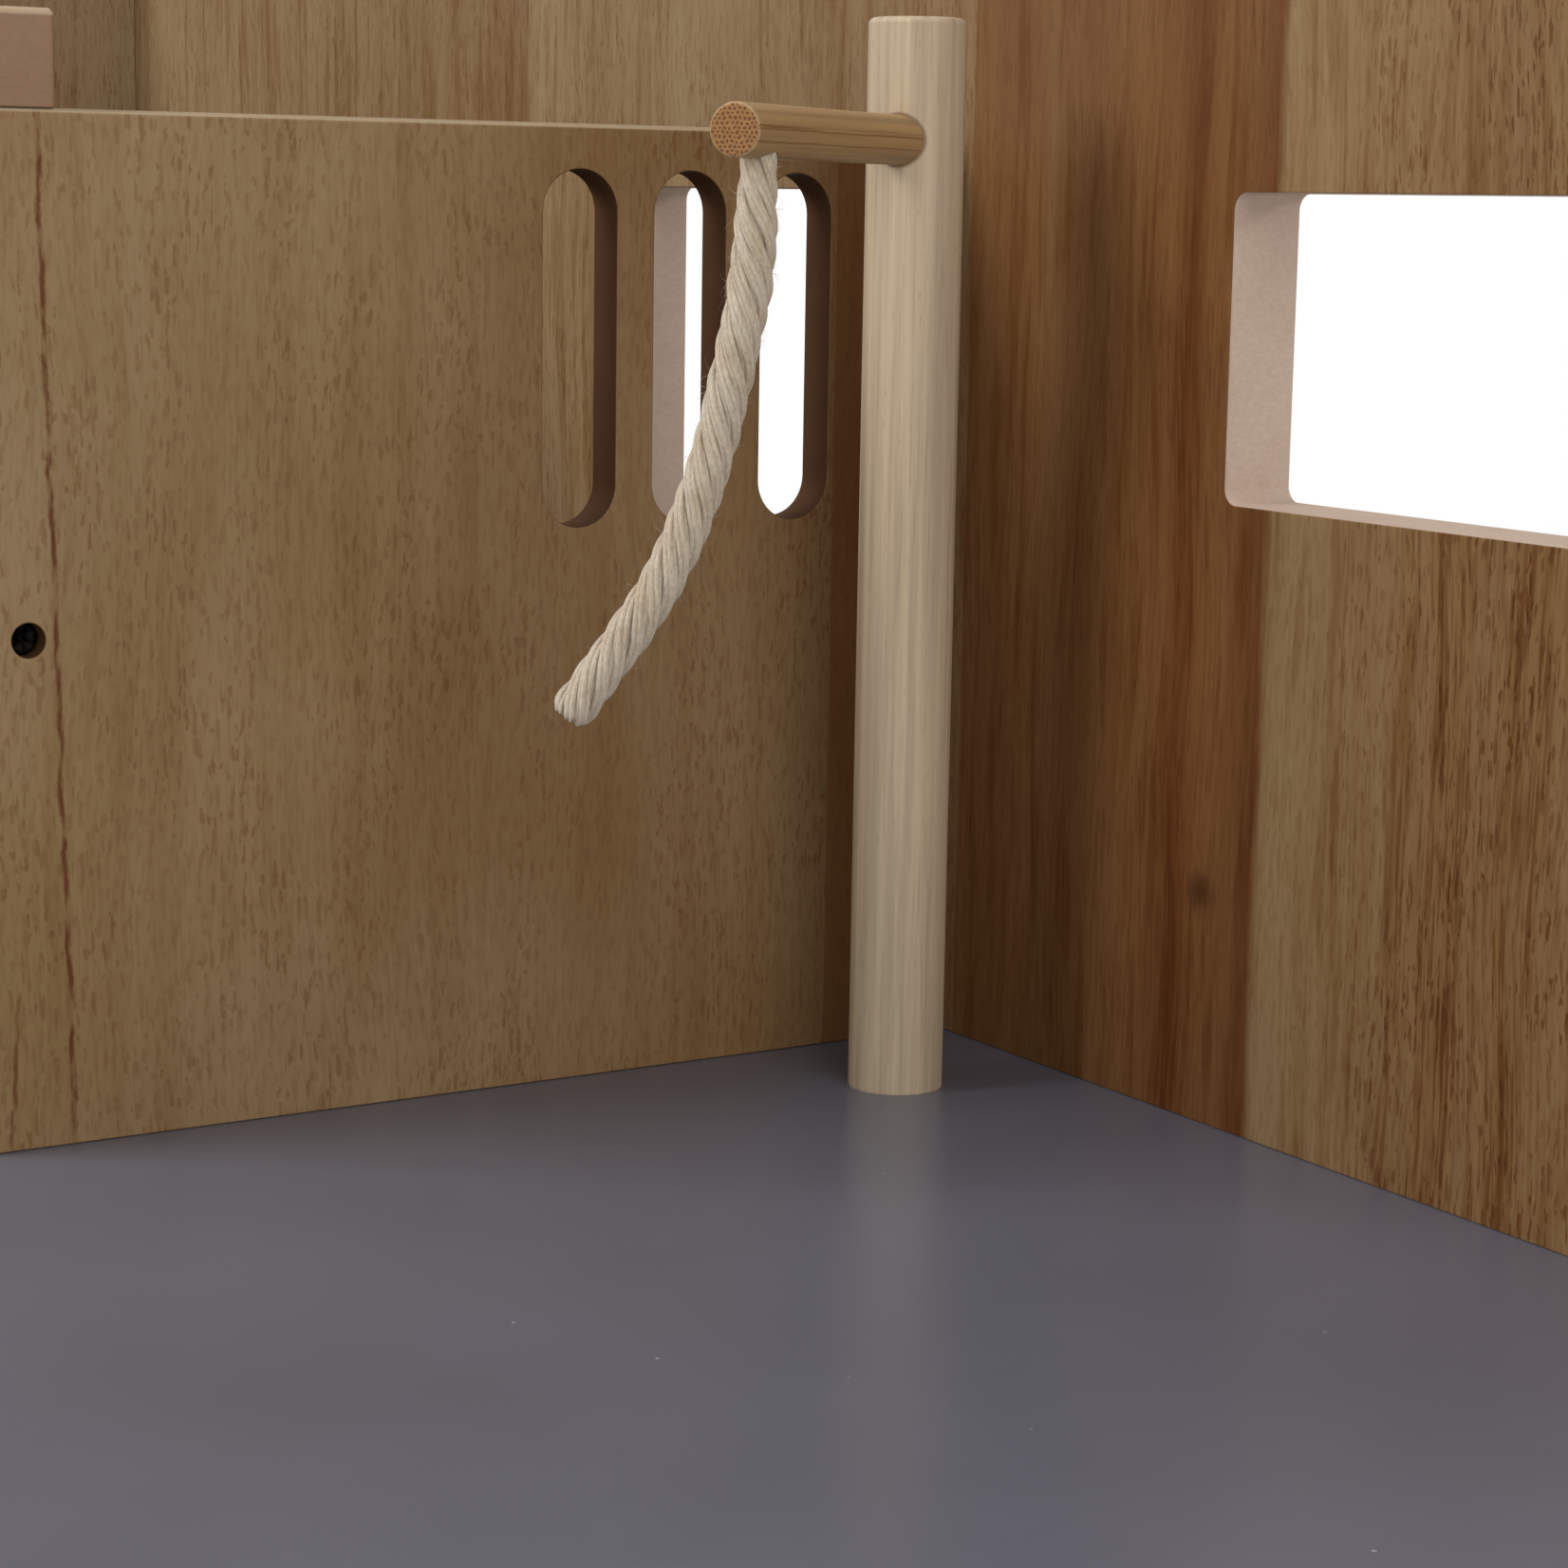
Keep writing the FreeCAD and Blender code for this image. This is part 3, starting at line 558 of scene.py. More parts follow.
def cracked(finish, colour, point, top_across, drift, half_width, strength, low, high):
    """The colour with one thin shivered crack down the grain."""
    across, height = finish.split(point)[:2]
    centre = finish.math("MULTIPLY_ADD", finish.math("SUBTRACT", high, height), drift, top_across)
    shiver = finish.noise(finish.sized(point, CRACK_SHIVER_SIZE), detail=4.0, roughness=0.65)
    centre = finish.math("MULTIPLY_ADD", finish.math("SUBTRACT", shiver, 0.5), CRACK_SHIVER_REACH, centre)
    distance = finish.math("ABSOLUTE", finish.math("SUBTRACT", across, centre))
    beat = finish.step(finish.noise(finish.sized(point, CRACK_BEAT_SIZE)), 0.38, 0.6, 0.25, 1.0)
    mark = finish.math("MULTIPLY", finish.step(distance, half_width, half_width * 0.2), beat)
    mark = finish.math("MULTIPLY", mark, finish.step(height, low - 2.0, low + 2.0))
    mark = finish.math("MULTIPLY", mark, finish.step(height, high + 0.2, high - 0.2))
    return finish.mix(finish.math("MULTIPLY", mark, strength), colour, CRACK_COLOUR)


def knotted(finish, colour, point, fine, knot_across, knot_height, radius):
    """The colour with one small dark knot, whose edge the fine grain makes ragged."""
    across, height = finish.split(point)[:2]
    offset = finish.combine(finish.math("SUBTRACT", across, knot_across),
                            finish.math("SUBTRACT", height, knot_height), 0.0)
    ragged = finish.math("SUBTRACT", fine, 0.5)
    distance = finish.math("MULTIPLY_ADD", ragged, radius, finish.length(offset))
    return finish.mix(finish.step(distance, radius, radius * 0.15, 0.0, 0.75), colour, KNOT_COLOUR)


def beech(name, across, print_start, top, print_sense=1, core_colour=BOARD_CORE, flecks=LONG_FLECKS,
          figured=1.0, stained=0.4, cracks=(), knots=()):
    """Board with a printed beech face, cut pressed-fibre edges and a pale line along its top edges, partly wear
    and partly a painted highlight of light from above.
    """
    finish = Finish(name, Specular_IOR_Level=0.12)
    point, facing = board_place(finish, across)
    u, v, through = finish.split(point)
    offset = finish.math("SUBTRACT", u, print_start)
    share = finish.math("FRACT", finish.math("DIVIDE", offset, PRINT_PERIOD * print_sense))
    wander = finish.noise(finish.sized(point, WANDER_SIZE), detail=1.0)
    grain_point = finish.combine(finish.math("MULTIPLY_ADD", wander, WANDER_REACH, u), v, through)

    colour, fine = printed_grain(finish, share, point, grain_point, figured, stained)
    colour = veined(finish, colour, share, wander, grain_point, figured)
    fleck = fleck_marks(finish, share, point, grain_point, flecks)
    colour = finish.darken(colour, fleck, FLECK_TINT)
    for crack in cracks:
        colour = cracked(finish, colour, point, *crack)
    for knot in knots:
        colour = knotted(finish, colour, point, fine, *knot)

    core, fibre = pressed_fibre(finish, point, core_colour)
    on_face = finish.step(facing, 0.6, 0.9)
    on_edge = finish.math("SUBTRACT", 1.0, on_face)
    colour = finish.mix(on_face, core, colour)
    # Pale line on the top edges only: partly wear, partly a painted highlight where light from above catches them
    rim = finish.math("MULTIPLY", finish.step(facing, 0.99, 0.9), finish.step(v, top - 1.0, top - 0.6))
    finish.colour(finish.mix(finish.math("MULTIPLY", rim, 0.55), colour, PALE_WEAR_AND_HIGHLIGHT))
    finish.roughness(0.38, (fine, 0.16), (on_edge, 0.32))
    relief = finish.math("SUBTRACT", finish.math("MULTIPLY", fine, 0.5), fleck)
    relief = finish.math("MULTIPLY", relief, on_face)
    relief = finish.math("ADD", relief, finish.math("MULTIPLY", fibre, 0.12))
    finish.bump(relief, strength=0.22, depth_mm=0.05)
    return finish.material


def solid_beech(name):
    """Sawn and sanded solid beech with upright grain."""
    finish = Finish(name, Specular_IOR_Level=0.4)
    point = finish.millimetres()
    streak = finish.noise(finish.sized(point, BATTEN_STREAK_SIZE), detail=3.0, roughness=0.6)
    fine = finish.noise(finish.sized(point, BATTEN_GRAIN_SIZE))
    colour = finish.mix(finish.step(streak, *NOISE_MIDDLE), BATTEN_DARK, BATTEN_LIGHT)
    colour = finish.darken(colour, finish.step(fine, 0.45, 0.75, 0.0, 0.5), BATTEN_GRAIN_TINT)
    fleck = finish.specks(point, BATTEN_FLECK_SIZE, 0.3, 0.12)
    finish.colour(finish.darken(colour, finish.math("MULTIPLY", fleck, 0.7), FLECK_TINT))
    finish.roughness(0.4, (fine, 0.2))
    finish.bump(finish.math("SUBTRACT", fine, fleck), strength=0.25, depth_mm=0.05)
    return finish.material


def grey_floor(name):
    """Satin grey lacquer with faint clouds and dust; the underside is bare board."""
    finish = Finish(name, Specular_IOR_Level=0.5)
    point = finish.millimetres()
    upward = finish.split(finish.place.outputs["Normal"])[2]
    cloud = finish.noise(finish.sized(point, FLOOR_CLOUD_SIZE), detail=3.0)
    peel = finish.noise(finish.sized(point, FLOOR_PEEL_SIZE))
    colour = finish.vary(cloud, FLOOR_GREY, 0.975, 1.025)
    distance, chance = finish.cells(finish.sized(point, DUST_SIZE))
    radius = finish.math("MULTIPLY", finish.math("POWER", finish.split(chance)[1], 5.0), DUST_RADIUS)
    dust = finish.math("LESS_THAN", distance, radius)
    colour = finish.mix(finish.math("MULTIPLY", dust, 0.5), colour, DUST_COLOUR)
    core, fibre = pressed_fibre(finish, point)
    bare = finish.step(upward, -0.3, -0.7)
    finish.colour(finish.mix(bare, colour, core))
    finish.roughness(0.27, (cloud, 0.03), (bare, 0.5))
    relief = finish.math("ADD", finish.math("MULTIPLY", peel, 0.2), finish.math("MULTIPLY", fibre, bare))
    finish.bump(relief, strength=0.12, depth_mm=0.05)
    return finish.material


def swivel_place():
    """X and Y of the axis on which the post turns."""
    return next(joint for joint in frame["joints"] if joint["name"] == "wash_boom_swivel")["pos_m"][:2]


def turned_to_boom(finish, vector, **settings):
    """A point or direction turned so that its first axis runs along the boom."""
    turn = (0.0, 0.0, math.radians(-BOOM_ANGLE_DEG))
    return finish.node("Mapping", [(0, vector), ("Rotation", turn)], **settings).outputs[0]


def boom_place(finish, point):
    """The point in millimetres along the boom, level across it and up, from the boom's root in the post."""
    x, y = swivel_place()
    root = (x / MM, y / MM, BOOM_HEIGHT / MM)
    return turned_to_boom(finish, finish.vector_math("SUBTRACT", point, root))


def pale_dowel(name, along, drilled=False):
    """Turned pale wood with long grain along one axis and small pores, with a painted shade in a ring round the
    boom's hole.
    """
    finish = Finish(name, Specular_IOR_Level=0.35)
    point = finish.millimetres()

    def stretched(size, length):
        return tuple(length if axis == along else size for axis in "XYZ")

    streak = finish.noise(finish.sized(point, stretched(*DOWEL_STREAK_SIZE)), detail=3.0, roughness=0.6)
    fine = finish.noise(finish.sized(point, stretched(*DOWEL_GRAIN_SIZE)))
    colour = finish.vary(streak, DOWEL_PALE, 0.91, 1.05)
    colour = finish.darken(colour, finish.step(fine, 0.5, 0.8, 0.0, 0.4), DOWEL_GRAIN_TINT)
    pore = finish.specks(point, stretched(*PORE_SIZE), 0.22, 0.08)
    colour = finish.mix(finish.math("MULTIPLY", pore, 0.35), colour, PORE_COLOUR)
    # Dark ring round the boom's hole: painted contact shade where the boom enters the post
    if drilled:
        outward, level, rise = finish.split(boom_place(finish, point))
        radius = finish.length(finish.combine(level, rise, 0.0))
        edge = finish.step(radius, BOOM_RADIUS / MM + 0.5, BOOM_RADIUS / MM + 0.1)
        edge = finish.math("MULTIPLY", edge, finish.math("GREATER_THAN", outward, 0.0))
        colour = finish.mix(finish.math("MULTIPLY", edge, 0.8), colour, HOLE_RIM_SHADE)
    finish.colour(colour)
    finish.roughness(0.5, (fine, 0.2))
    finish.bump(finish.math("SUBTRACT", fine, pore), strength=0.3, depth_mm=0.05)
    return finish.material


def bamboo_side(finish, point, streak):
    """Streaked side of the rod with darker strands and a few dark lines, and the strands' own mark."""
    side = finish.vary(streak, BAMBOO_TAN, 0.9, 1.06)
    gap, chance = finish.cells(finish.sized(point, BAMBOO_STRAND_SIZE))
    dark_strand = finish.step(finish.split(chance)[0], 0.5, 0.85)
    strand = finish.math("MULTIPLY", finish.step(gap, 0.42, 0.16), dark_strand)
    side = finish.darken(side, finish.math("MULTIPLY", strand, 0.75), BAMBOO_STRAND_TINT)
    along, level, rise = finish.split(point)
    angle = finish.math("ARCTAN2", rise, level)
    drift = finish.noise(finish.combine(finish.math("MULTIPLY", along, 0.09), 0.0, 0.0))
    for at_deg, half_width, strength in BAMBOO_LINES:
        start = math.radians(at_deg) - BAMBOO_LINE_SWAY / 2
        line = finish.math("MULTIPLY_ADD", drift, BAMBOO_LINE_SWAY, start)
        distance = finish.math("ABSOLUTE", finish.math("SUBTRACT", angle, line))
        distance = finish.math("MULTIPLY", distance, BOOM_RADIUS / MM)
        mark = finish.step(distance, half_width, half_width * 0.3, 0.0, strength)
        side = finish.darken(side, mark, BAMBOO_LINE_TINT)
    return side, strand


def bamboo_cut(finish, point, streak):
    """Cut end of the rod: pith with dark vessel dots, and the dots' own mark."""
    level, rise = finish.split(point)[1:]
    wobble = finish.noise(finish.sized(point, BAMBOO_WOBBLE_SIZE), detail=1.0)
    sway = finish.noise(finish.sized(point, BAMBOO_SWAY_SIZE), detail=1.0)
    gap = finish.hexagonal(finish.math("MULTIPLY_ADD", wobble, 0.5, level),
                           finish.math("MULTIPLY_ADD", sway, 0.6, rise), BAMBOO_DOT_PITCH)
    dot = finish.step(gap, BAMBOO_DOT_PITCH * 0.4, BAMBOO_DOT_PITCH * 0.24)
    pith = finish.vary(streak, BAMBOO_PITH, 0.95, 1.05)
    return finish.mix(finish.math("MULTIPLY", dot, 0.8), pith, BAMBOO_DOT), dot


def bamboo(name):
    """Bamboo rod, with a faint pale rim round its cut ends."""
    finish = Finish(name, Specular_IOR_Level=0.25)
    point = boom_place(finish, finish.millimetres())
    facing = turned_to_boom(finish, finish.place.outputs["Normal"], vector_type="NORMAL")
    end_on = finish.math("ABSOLUTE", finish.split(facing)[0])
    end = finish.step(end_on, 0.8, 0.95)
    streak = finish.noise(finish.sized(point, BAMBOO_STREAK_SIZE), detail=3.0, roughness=0.65)
    side, strand = bamboo_side(finish, point, streak)
    cut, dot = bamboo_cut(finish, point, streak)
    colour = finish.mix(end, side, cut)
    rim = finish.math("MULTIPLY", finish.step(end_on, 0.25, 0.5), finish.step(end_on, 0.97, 0.85))
    finish.colour(finish.mix(finish.math("MULTIPLY", rim, 0.12), colour, PALE_WEAR_AND_HIGHLIGHT))
    finish.roughness(0.38, (streak, 0.2), (end, 0.25))
    hollow = finish.math("MULTIPLY", dot, end)
    groove = finish.math("MULTIPLY", strand, finish.math("SUBTRACT", 1.0, end))
    relief = finish.math("SUBTRACT", streak, finish.math("ADD", hollow, groove))
    finish.bump(relief, strength=0.4, depth_mm=0.06)
    return finish.material


def cotton(name):
    """Soft twisted cotton: matt, with short fibre and slight soiling."""
    finish = Finish(name, Roughness=0.95, Sheen_Weight=0.25, Sheen_Roughness=0.5, Specular_IOR_Level=0.15)
    point = finish.millimetres()
    fibre = finish.noise(finish.sized(point, COTTON_FIBRE_SIZE), detail=4.0, roughness=0.7)
    soil = finish.noise(finish.sized(point, COTTON_SOIL_SIZE))
    colour = finish.vary(fibre, COTTON_WHITE, 0.86, 1.05)
    finish.colour(finish.darken(colour, finish.step(soil, 0.4, 0.75, 0.0, 0.4), COTTON_SOIL_TINT))
    finish.bump(fibre, strength=0.5, depth_mm=0.08)
    return finish.material


def steel(name, colour, roughness):
    """Plated steel with faint turning marks and handling haze."""
    finish = Finish(name, Metallic=1.0)
    point = finish.millimetres()
    haze = finish.noise(finish.sized(point, STEEL_HAZE_SIZE), detail=3.0)
    scratch = finish.noise(finish.sized(point, STEEL_SCRATCH_SIZE))
    finish.colour(finish.vary(haze, colour, 0.86, 1.03))
    finish.roughness(roughness - 0.1, (haze, 0.2))
    finish.bump(scratch, strength=0.2, depth_mm=0.02)
    return finish.material


def add_camera():
    yaw, pitch, roll = (math.radians(a) for a in (CAMERA_YAW_DEG, CAMERA_PITCH_DEG, CAMERA_ROLL_DEG))
    level = Vector((-math.cos(yaw), math.sin(yaw), 0))
    side = Vector((math.sin(yaw), math.cos(yaw), 0))
    forward = level * math.cos(pitch) - UP * math.sin(pitch)
    tilted_up = UP * math.cos(pitch) + level * math.sin(pitch)
    right = side * math.cos(roll) + tilted_up * math.sin(roll)
    top = tilted_up * math.cos(roll) - side * math.sin(roll)
    data = bpy.data.cameras.new("camera")
    data.lens = CAMERA_LENS_MM
    data.sensor_width = CAMERA_SENSOR_MM
    data.clip_start = CAMERA_CLIP_START
    camera = bpy.data.objects.new("camera", data)
    axes = Matrix((right, top, -forward)).transposed()
    camera.matrix_world = Matrix.Translation(CAMERA_PLACE) @ axes.to_4x4()
    bpy.context.scene.collection.objects.link(camera)
    bpy.context.scene.camera = camera


def add_piece(name, mesh_data, material, body):
    """A new object from a bmesh, on its body and with its finish."""
    bmesh.ops.recalc_face_normals(mesh_data, faces=mesh_data.faces)
    mesh = bpy.data.meshes.new(name)
    mesh_data.to_mesh(mesh)
    mesh_data.free()
    mesh.shade_smooth()
    mesh.materials.append(material)
    piece = bpy.data.objects.new(name, mesh)
    bpy.context.scene.collection.objects.link(piece)
    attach(piece, body)
    return piece


def add_tube(mesh_data, rings, start_tip, end_tip):
    """Closed tube through rings of points, with a blunt tip at each end."""
    rows = [[mesh_data.verts.new(point) for point in ring] for ring in rings]
    for near, far in zip(rows, rows[1:]):
        for index in range(len(near)):
            following = (index + 1) % len(near)
            mesh_data.faces.new((near[index], near[following], far[following], far[index]))
    for row, tip in ((rows[0], start_tip), (rows[-1], end_tip)):
        point = mesh_data.verts.new(tip)
        for index in range(len(row)):
            mesh_data.faces.new((row[index], row[(index + 1) % len(row)], point))


def hang_point():
    """Point on the boom's axis from which the rope hangs."""
    x, y = swivel_place()
    angle = math.radians(BOOM_ANGLE_DEG)
    return Vector((x + ROPE_REACH * math.cos(angle), y + ROPE_REACH * math.sin(angle), BOOM_HEIGHT))


def rope_line():
    """Points along the smooth line whose control points are the rope's route."""
    lean = math.radians(ROPE_LEAN_DEG)
    sideways = Vector((math.cos(lean), math.sin(lean), 0))
    curve = bpy.data.curves.new("rope_line", "CURVE")
    curve.dimensions = "3D"
    spline = curve.splines.new("NURBS")
    spline.points.add(len(ROPE_ROUTE) - 1)
    for point, (offset, drop) in zip(spline.points, ROPE_ROUTE):
        point.co = (*(hang_point() + sideways * offset - UP * drop), 1.0)
    spline.order_u = 3
    spline.use_endpoint_u = True
    spline.resolution_u = ROPE_POINTS_PER_SPAN
    holder = bpy.data.objects.new("rope_line", curve)
    mesh = bpy.data.meshes.new_from_object(holder)
    points = [vertex.co.copy() for vertex in mesh.vertices]
    bpy.data.objects.remove(holder)
    bpy.data.curves.remove(curve)
    bpy.data.meshes.remove(mesh)
    return points


def carried_stations(points):
    """Each point with its distance along the line and two directions across it that don't twist."""
    stations = []
    distance = 0.0
    across = None
    for index, point in enumerate(points):
        before = points[max(index - 1, 0)]
        after = points[min(index + 1, len(points) - 1)]
        tangent = (after - before).normalized()
        if across is None:
            across = tangent.cross(Vector((0, 1, 0)))
        across = (across - tangent * across.dot(tangent)).normalized()
        distance += (point - before).length
        stations.append(Station(point, distance, tangent, across.copy(), tangent.cross(across)))
    return stations


def radial(station, angle):
    """Direction square to the rope's line, at an angle round it."""
    return station.across * math.cos(angle) + station.aside * math.sin(angle)


def rope_swell(distance, length):
    """The rope is thinner where it is bound into the boom, and drawn in at its cut end."""
    neck = min(1.0, distance / NECK_LENGTH)
    tip = min(1.0, (length - distance) / TIP_LENGTH)
    scale = NECK_SCALE + (1 - NECK_SCALE) * neck * neck * (3 - 2 * neck)
    return scale * (TIP_SCALE + (1 - TIP_SCALE) * math.sqrt(max(0.0, 1 - (1 - tip) ** 2)))


def lay_angle(distance):
    """Left-handed lay: how far the plies have turned round the rope's line."""
    return -math.tau * distance / ROPE_LAY


def add_rope_tube(mesh_data, stations, last, radius, offset=0.0, turn=0.0, orbit=0.0, yarn_turn=0.0):
    """Tube that follows a ply: offset from the rope's line, then orbit from the ply's own line."""
    length = stations[-1].distance
    rings = []
    centres = []
    for index, station in enumerate(stations[:last + 1]):
        swell = rope_swell(station.distance, length)
        blunt = TUBE_END_SHARE if index in (0, last) else 1.0
        ply = turn + lay_angle(station.distance)
        yarn = ply + yarn_turn + math.tau * station.distance / YARN_LAY
        centre = station.point + radial(station, ply) * offset * swell
        centre += radial(station, yarn) * orbit * swell
        angles = [math.tau * side / TUBE_SIDES + ply for side in range(TUBE_SIDES)]
        rings.append([centre + radial(station, a) * radius * swell * blunt for a in angles])
        centres.append(centre)
    add_tube(mesh_data, rings, centres[0], centres[-1] + stations[last].tangent * radius * TUBE_TIP_SHARE)


def add_plies(mesh_data, stations, draw):
    """Plies in pairs, laid left-handed round a core, each of fine yarns with uneven ends."""
    last = len(stations) - 1
    orbit = PLY_RADIUS - YARN_RADIUS
    add_rope_tube(mesh_data, stations, last - 1, ROPE_CORE_RADIUS)
    for strand in range(STRANDS):
        for ply in range(PLIES):
            spread = math.radians(PLY_SPREAD_DEG) * (2 * ply - PLIES + 1)
            turn = math.tau * strand / STRANDS + spread + draw.uniform(*PLY_TURN_RANGE)
            proud = PLY_OFFSET * draw.uniform(*PLY_OFFSET_RANGE)
            add_rope_tube(mesh_data, stations, last - 1, PLY_RADIUS * PLY_CORE_SHARE, proud, turn)
            for yarn in range(YARNS):
                yarn_turn = math.tau * yarn / YARNS + draw.uniform(*YARN_TURN_RANGE)
                radius = YARN_RADIUS * draw.uniform(*YARN_RADIUS_RANGE)
                ending = last - draw.choice(YARN_END_STEPS)
                add_rope_tube(mesh_data, stations, ending, radius, proud, turn, orbit, yarn_turn)


def add_stray_fibre(mesh_data, start, outward, tangent, reach, sweep):
    """Hair that leaves the rope, bends over and thins out."""
    aside = tangent.cross(outward)
    angles = [math.tau * side / STRAY_SIDES for side in range(STRAY_SIDES)]
    rings = []
    for step in range(STRAY_STEPS):
        share = step / (STRAY_STEPS - 1)
        taper = STRAY_ROOT_SHARE - STRAY_TAPER * share
        centre = start + outward * reach * math.sin(share * STRAY_BEND) + sweep * share * share
        rings.append([centre + (tangent * math.cos(a) + aside * math.sin(a)) * STRAY_RADIUS * taper
                      for a in angles])
    add_tube(mesh_data, rings, start, centre + outward * STRAY_RADIUS)


def add_fuzz(mesh_data, stations, draw):
    """Stray fibres along the whole rope, and more of them close under the boom."""
    last = len(stations) - 1
    for fibre in range(STRAY_FIBRES + FRAYED_FIBRES):
        index = draw.randrange(FIRST_STRAY_POINT, last - 1 if fibre < STRAY_FIBRES else FRAYED_POINTS)
        station = stations[index]
        outward = radial(station, draw.uniform(0, math.tau))
        swell = rope_swell(station.distance, stations[last].distance)
        start = station.point + outward * ROPE_DIAMETER * STRAY_SEAT_SHARE * swell
        reach = draw.uniform(*STRAY_REACH_RANGE)
        sweep = station.tangent * draw.uniform(-1, 1)
        sweep += outward.cross(station.tangent) * draw.uniform(-1, 1)
        add_stray_fibre(mesh_data, start, outward, station.tangent, reach, sweep * STRAY_SWEEP)


def rope():
    """Twisted rope along the smooth line of its route, with a fuzz of stray fibre."""
    draw = random.Random(ROPE_SEED)
    points = rope_line()
    stations = carried_stations(points)
    mesh_data = bmesh.new()
    add_plies(mesh_data, stations, draw)
    add_fuzz(mesh_data, stations, draw)
    piece = add_piece("rope", mesh_data, cotton("cotton_rope"), "wash_boom")
    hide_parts("hose_rope")


def screw_angles():
    """Angles round a screw at which the cross recess has its corners and the middles of its sides."""
    corner = math.degrees(math.atan2(CROSS_ARM_HALF_WIDTH, CROSS_ARM_LENGTH))
    quarter = (-45.0, -30.0, -corner, 0.0, corner, 30.0)
    return [math.radians(90 * turn + angle) for turn in range(4) for angle in quarter]


def cross_radius(angle):
    """Outline of the cross recess as a share of the head's radius."""
    folded = math.radians((math.degrees(angle) + 45) % 90 - 45)
    if abs(math.tan(folded)) <= CROSS_ARM_HALF_WIDTH / CROSS_ARM_LENGTH + 1e-9:
        return CROSS_ARM_LENGTH / math.cos(folded)
    return CROSS_ARM_HALF_WIDTH / math.sin(abs(folded))


def add_screw(mesh_data, head_point, inward, head_radius, profile):
    """Screw of (radius, depth) rings from the head's top to the tip, with a cross recess in the head."""
    side = inward.orthogonal().normalized()
    other = inward.cross(side)
    angles = screw_angles()

    def ring(depth, radii):
        return [head_point + inward * depth + (side * math.cos(a) + other * math.sin(a)) * r
                for a, r in zip(angles, radii)]

    top_depth = profile[0][1]
    recess_depth = head_radius * CROSS_DEPTH
    cross = [head_radius * cross_radius(a) for a in angles]
    rings = [ring(top_depth + recess_depth, scaled(cross, CROSS_FLOOR_SHARE)), ring(top_depth, cross)]
    rings += [ring(depth, [radius] * len(angles)) for radius, depth in profile[:-1]]
    start = head_point + inward * (top_depth + recess_depth * CROSS_POINT_SHARE)
    add_tube(mesh_data, rings, start, head_point + inward * profile[-1][1])


def screw_boxes(node):
    """Box of each separate screw of a node."""
    groups = []
    for vertex in frame["nodes"][node].data.vertices:
        for group in groups:
            if (vertex.co - group[0]).length < SCREW_APART:
                group.append(vertex.co)
                break
        else:
            groups.append([vertex.co])
    return [(Vector(map(min, *group)), Vector(map(max, *group))) for group in groups]


def screws(node, inward, material, head):
    """Screws with cross recesses that stand for a node's plain ones, driven in the inward direction."""
    inward = Vector(inward)
    mesh_data = bmesh.new()
    for low, high in screw_boxes(node):
        middle = (low + high) / 2
        half = (high - low) / 2
        length = 2 * abs(half.dot(inward))
        head_radius = min(half)
        head_point = middle - inward * length / 2
        add_screw(mesh_data, head_point, inward, head_radius, head(head_radius, length))
    body = next(body for body, nodes in frame["record"]["behaviour"]["bodies"].items() if node in nodes)
    piece = add_piece(node + "_crosshead", mesh_data, material, body)
    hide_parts(node)


def countersunk(head_radius, length):
    """Profile of a flat head with a cone under it."""
    return [
        (head_radius * SUNK_RIM_SHARE, 0.0),
        (head_radius, SUNK_RIM_DEPTH),
        (SCREW_SHANK_RADIUS, SUNK_HEAD_DEPTH),
        (SCREW_SHANK_RADIUS, length - SCREW_TIP_LENGTH),
        (SCREW_SHANK_RADIUS * SCREW_POINT_SHARE, length - SCREW_TIP_LENGTH * SCREW_POINT_SHARE),
        (0.0, length),
    ]


def cheese_head(head_radius, length):
    """Profile of a flat head with upright sides."""
    thickness = head_radius * CHEESE_DEPTH_SHARE
    return [
        (head_radius * CHEESE_TOP_SHARE, 0.0),
        (head_radius * CHEESE_SIDE_SHARE, CHEESE_EDGE_DEPTH),
        (head_radius * CHEESE_SIDE_SHARE, thickness),
        (SCREW_SHANK_RADIUS, thickness),
        (SCREW_SHANK_RADIUS, length - SCREW_TIP_LENGTH),
        (0.0, length),
    ]


def round_head(head_radius, length):
    """Profile of a domed head, made of a few rings."""
    dome = [(head_radius * share, BUTTON_HEAD_THICKNESS * (1 - math.sqrt(1 - share ** 2)))
            for share in BUTTON_DOME_SHARES]
    return dome + [
        (BUTTON_SHANK_RADIUS, BUTTON_HEAD_THICKNESS),
        (BUTTON_SHANK_RADIUS, length - BUTTON_SHANK_RADIUS),
        (0.0, length),
    ]


def all_screws():
    zinc = steel("zinc_steel", ZINC_BRIGHT, roughness=0.32)
    # The screw in the partition's hole is painted near black, standing for the shade inside the hole
    hole_shade_finish = steel("hole_shade_steel", HOLE_SHADE_BLACK, roughness=0.6)
    for node in BASE_SCREWS:
        screws(node, (0, 0, 1), zinc, countersunk)
    screws("back_wall_joint_screws", (0, -1, 0), zinc, countersunk)
    screws("end_wall_joint_screws", (1, 0, 0), zinc, countersunk)
    screws("front_joint_screws", (0, 1, 0), zinc, countersunk)
    screws("wash_partition_screw", (-1, 0, 0), hole_shade_finish, cheese_head)
    for side in ("left", "right"):
        screws(side + "_button_screw", (0, 1, 0), zinc, round_head)
        for pin in ("_door_upper_pin", "_door_lower_pin"):
            dress(side + pin, zinc)


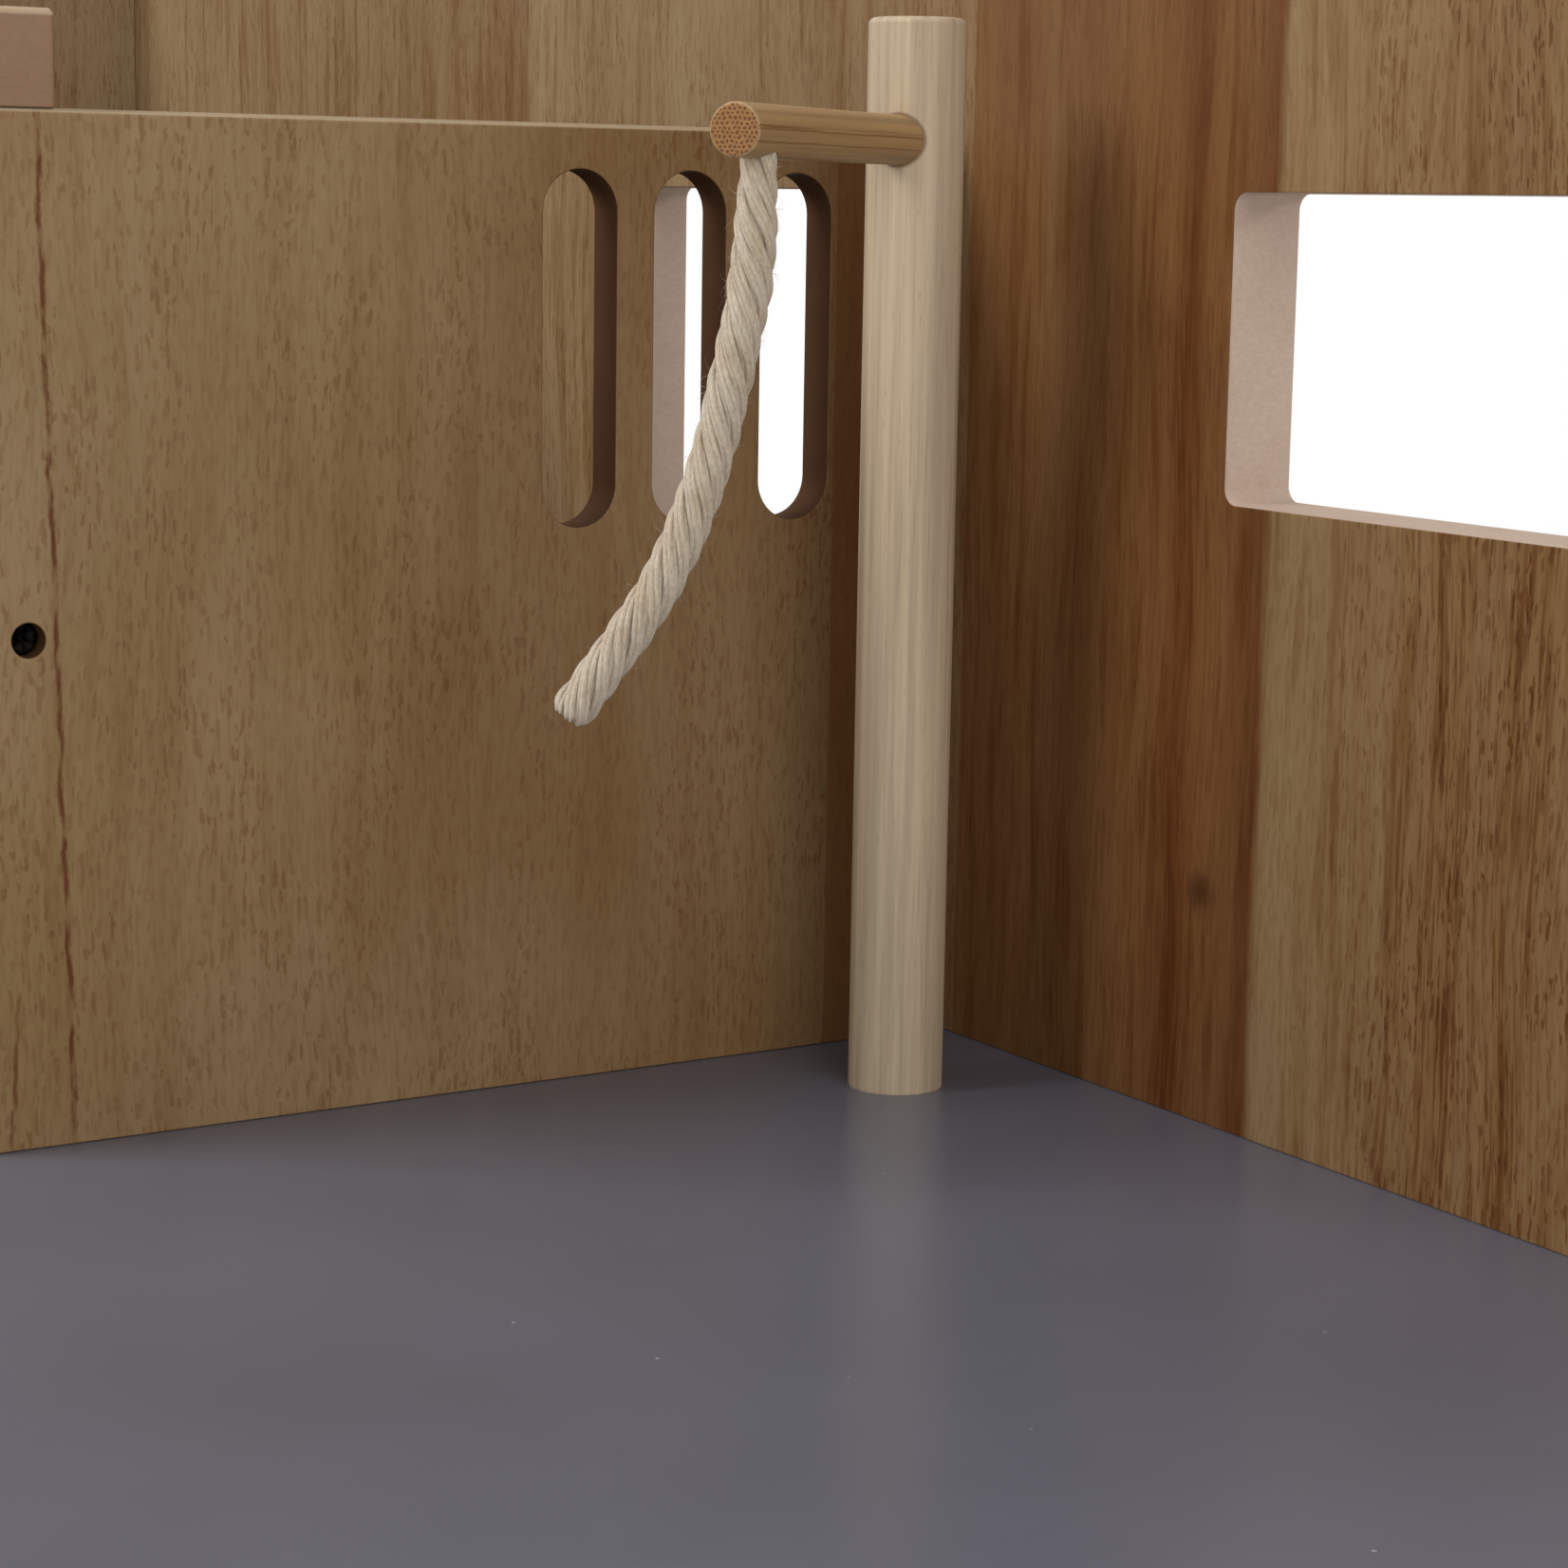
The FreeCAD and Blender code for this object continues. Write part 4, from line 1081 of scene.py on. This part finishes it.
def dress(node, material, rounded=False):
    """Gives a node its finish, and takes the sharpness off the edges of a sawn board."""
    piece = frame["nodes"][node]
    piece.data.materials.clear()
    piece.data.materials.append(material)
    if not rounded:
        return
    weld = piece.modifiers.new("weld", "WELD")
    weld.merge_threshold = WELD_DISTANCE
    bevel = piece.modifiers.new("sanded_edges", "BEVEL")
    bevel.width = EDGE_ROUND
    bevel.segments = EDGE_SEGMENTS
    bevel.limit_method = "ANGLE"
    bevel.angle_limit = math.radians(EDGE_ROUND_FROM_DEG)
    bevel.use_clamp_overlap = False
    bevel.loop_slide = False
    piece.modifiers.new("even_shading", "WEIGHTED_NORMAL")


def board(node, across, print_start, **look):
    """Printed board, with its print's first stave starting at print_start across it, in millimetres."""
    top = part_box(node)[1][2] / MM
    dress(node, beech("beech_" + node, across, print_start, top, **look), rounded=True)


def dress_boards():
    board("back_wall", "X", print_start=54.5, knots=[WALL_KNOT])
    board("wash_partition", "Y", print_start=76.0, cracks=[LONG_CRACK, SHORT_CRACK], **PARTITION_LOOK)
    board("stall_partition", "Y", print_start=-150.0, **PARTITION_LOOK)
    board("end_wall", "Y", print_start=-28.0, print_sense=-1, stained=0.0)
    board("stall_front", "X", print_start=20.0, core_colour=FRONT_CORE)
    board("left_door", "X", print_start=-310.0)
    board("right_door", "X", print_start=-135.0)
    dress("floor_board", grey_floor("grey_lacquer"))


def dress_fittings():
    batten = solid_beech("solid_beech")
    knob_wood = pale_dowel("knob_wood", "Y")
    for side in ("left", "right"):
        dress(side + "_door_stop", batten)
        dress(side + "_turn_button", batten)
        dress(side + "_door_knob", knob_wood)
    dress("wash_post", pale_dowel("post_wood", "Z", drilled=True))
    dress("hose_boom", bamboo("boom_bamboo"))


def add_stage():
    """Pale floor that keeps the object's shadow and turns to white further out."""
    mesh_data = bmesh.new()
    bmesh.ops.create_grid(mesh_data, x_segments=1, y_segments=1, size=STAGE_HALF_SIZE)
    mesh = bpy.data.meshes.new("studio_floor")
    mesh_data.to_mesh(mesh)
    mesh_data.free()
    ground = bpy.data.objects.new("studio_floor", mesh)
    ground.location.z = -STAGE_DROP
    bpy.context.scene.collection.objects.link(ground)
    finish = Finish("studio_floor", Roughness=0.9, Specular_IOR_Level=0.1)
    finish.colour(STAGE_GREY)
    far = finish.step(finish.length(finish.place.outputs["Object"]), *STAGE_FADE)
    share = finish.math("MULTIPLY", far, finish.seen_ray())
    white = finish.node("Emission", [("Color", WHITE), ("Strength", 1.0)]).outputs[0]
    blend = finish.node("MixShader", [(0, share), (1, finish.shader.outputs[0]), (2, white)])
    finish.feed(finish.tree.nodes["Material Output"].inputs["Surface"], blend.outputs[0])
    mesh.materials.append(finish.material)


def add_world():
    """White behind the object, with a softer even light from all round."""
    world = bpy.data.worlds.new("studio")
    world.use_nodes = True
    bpy.context.scene.world = world
    steps = NodeSteps(world.node_tree)
    background = world.node_tree.nodes["Background"].inputs
    steps.feed(background["Color"], WHITE)
    level = steps.math("MULTIPLY_ADD", steps.seen_ray(), 1.0 - AMBIENT, AMBIENT)
    steps.feed(background["Strength"], level)


def add_lamp(name, place, target, size, power, in_gloss):
    data = bpy.data.lights.new(name, "AREA")
    data.shape = "SQUARE"
    data.size = size
    data.energy = power
    lamp = bpy.data.objects.new(name, data)
    lamp.location = place
    lamp.rotation_mode = "QUATERNION"
    lamp.rotation_quaternion = (Vector(target) - Vector(place)).to_track_quat("-Z", "Y")
    lamp.visible_glossy = in_gloss
    bpy.context.scene.collection.objects.link(lamp)


def add_light():
    add_world()
    for name, lamp in LAMPS.items():
        add_lamp(name, *lamp)


bpy.context.scene.view_settings.view_transform = "Standard"
add_camera()
rope()
dress_boards()
dress_fittings()
all_screws()
add_stage()
add_light()
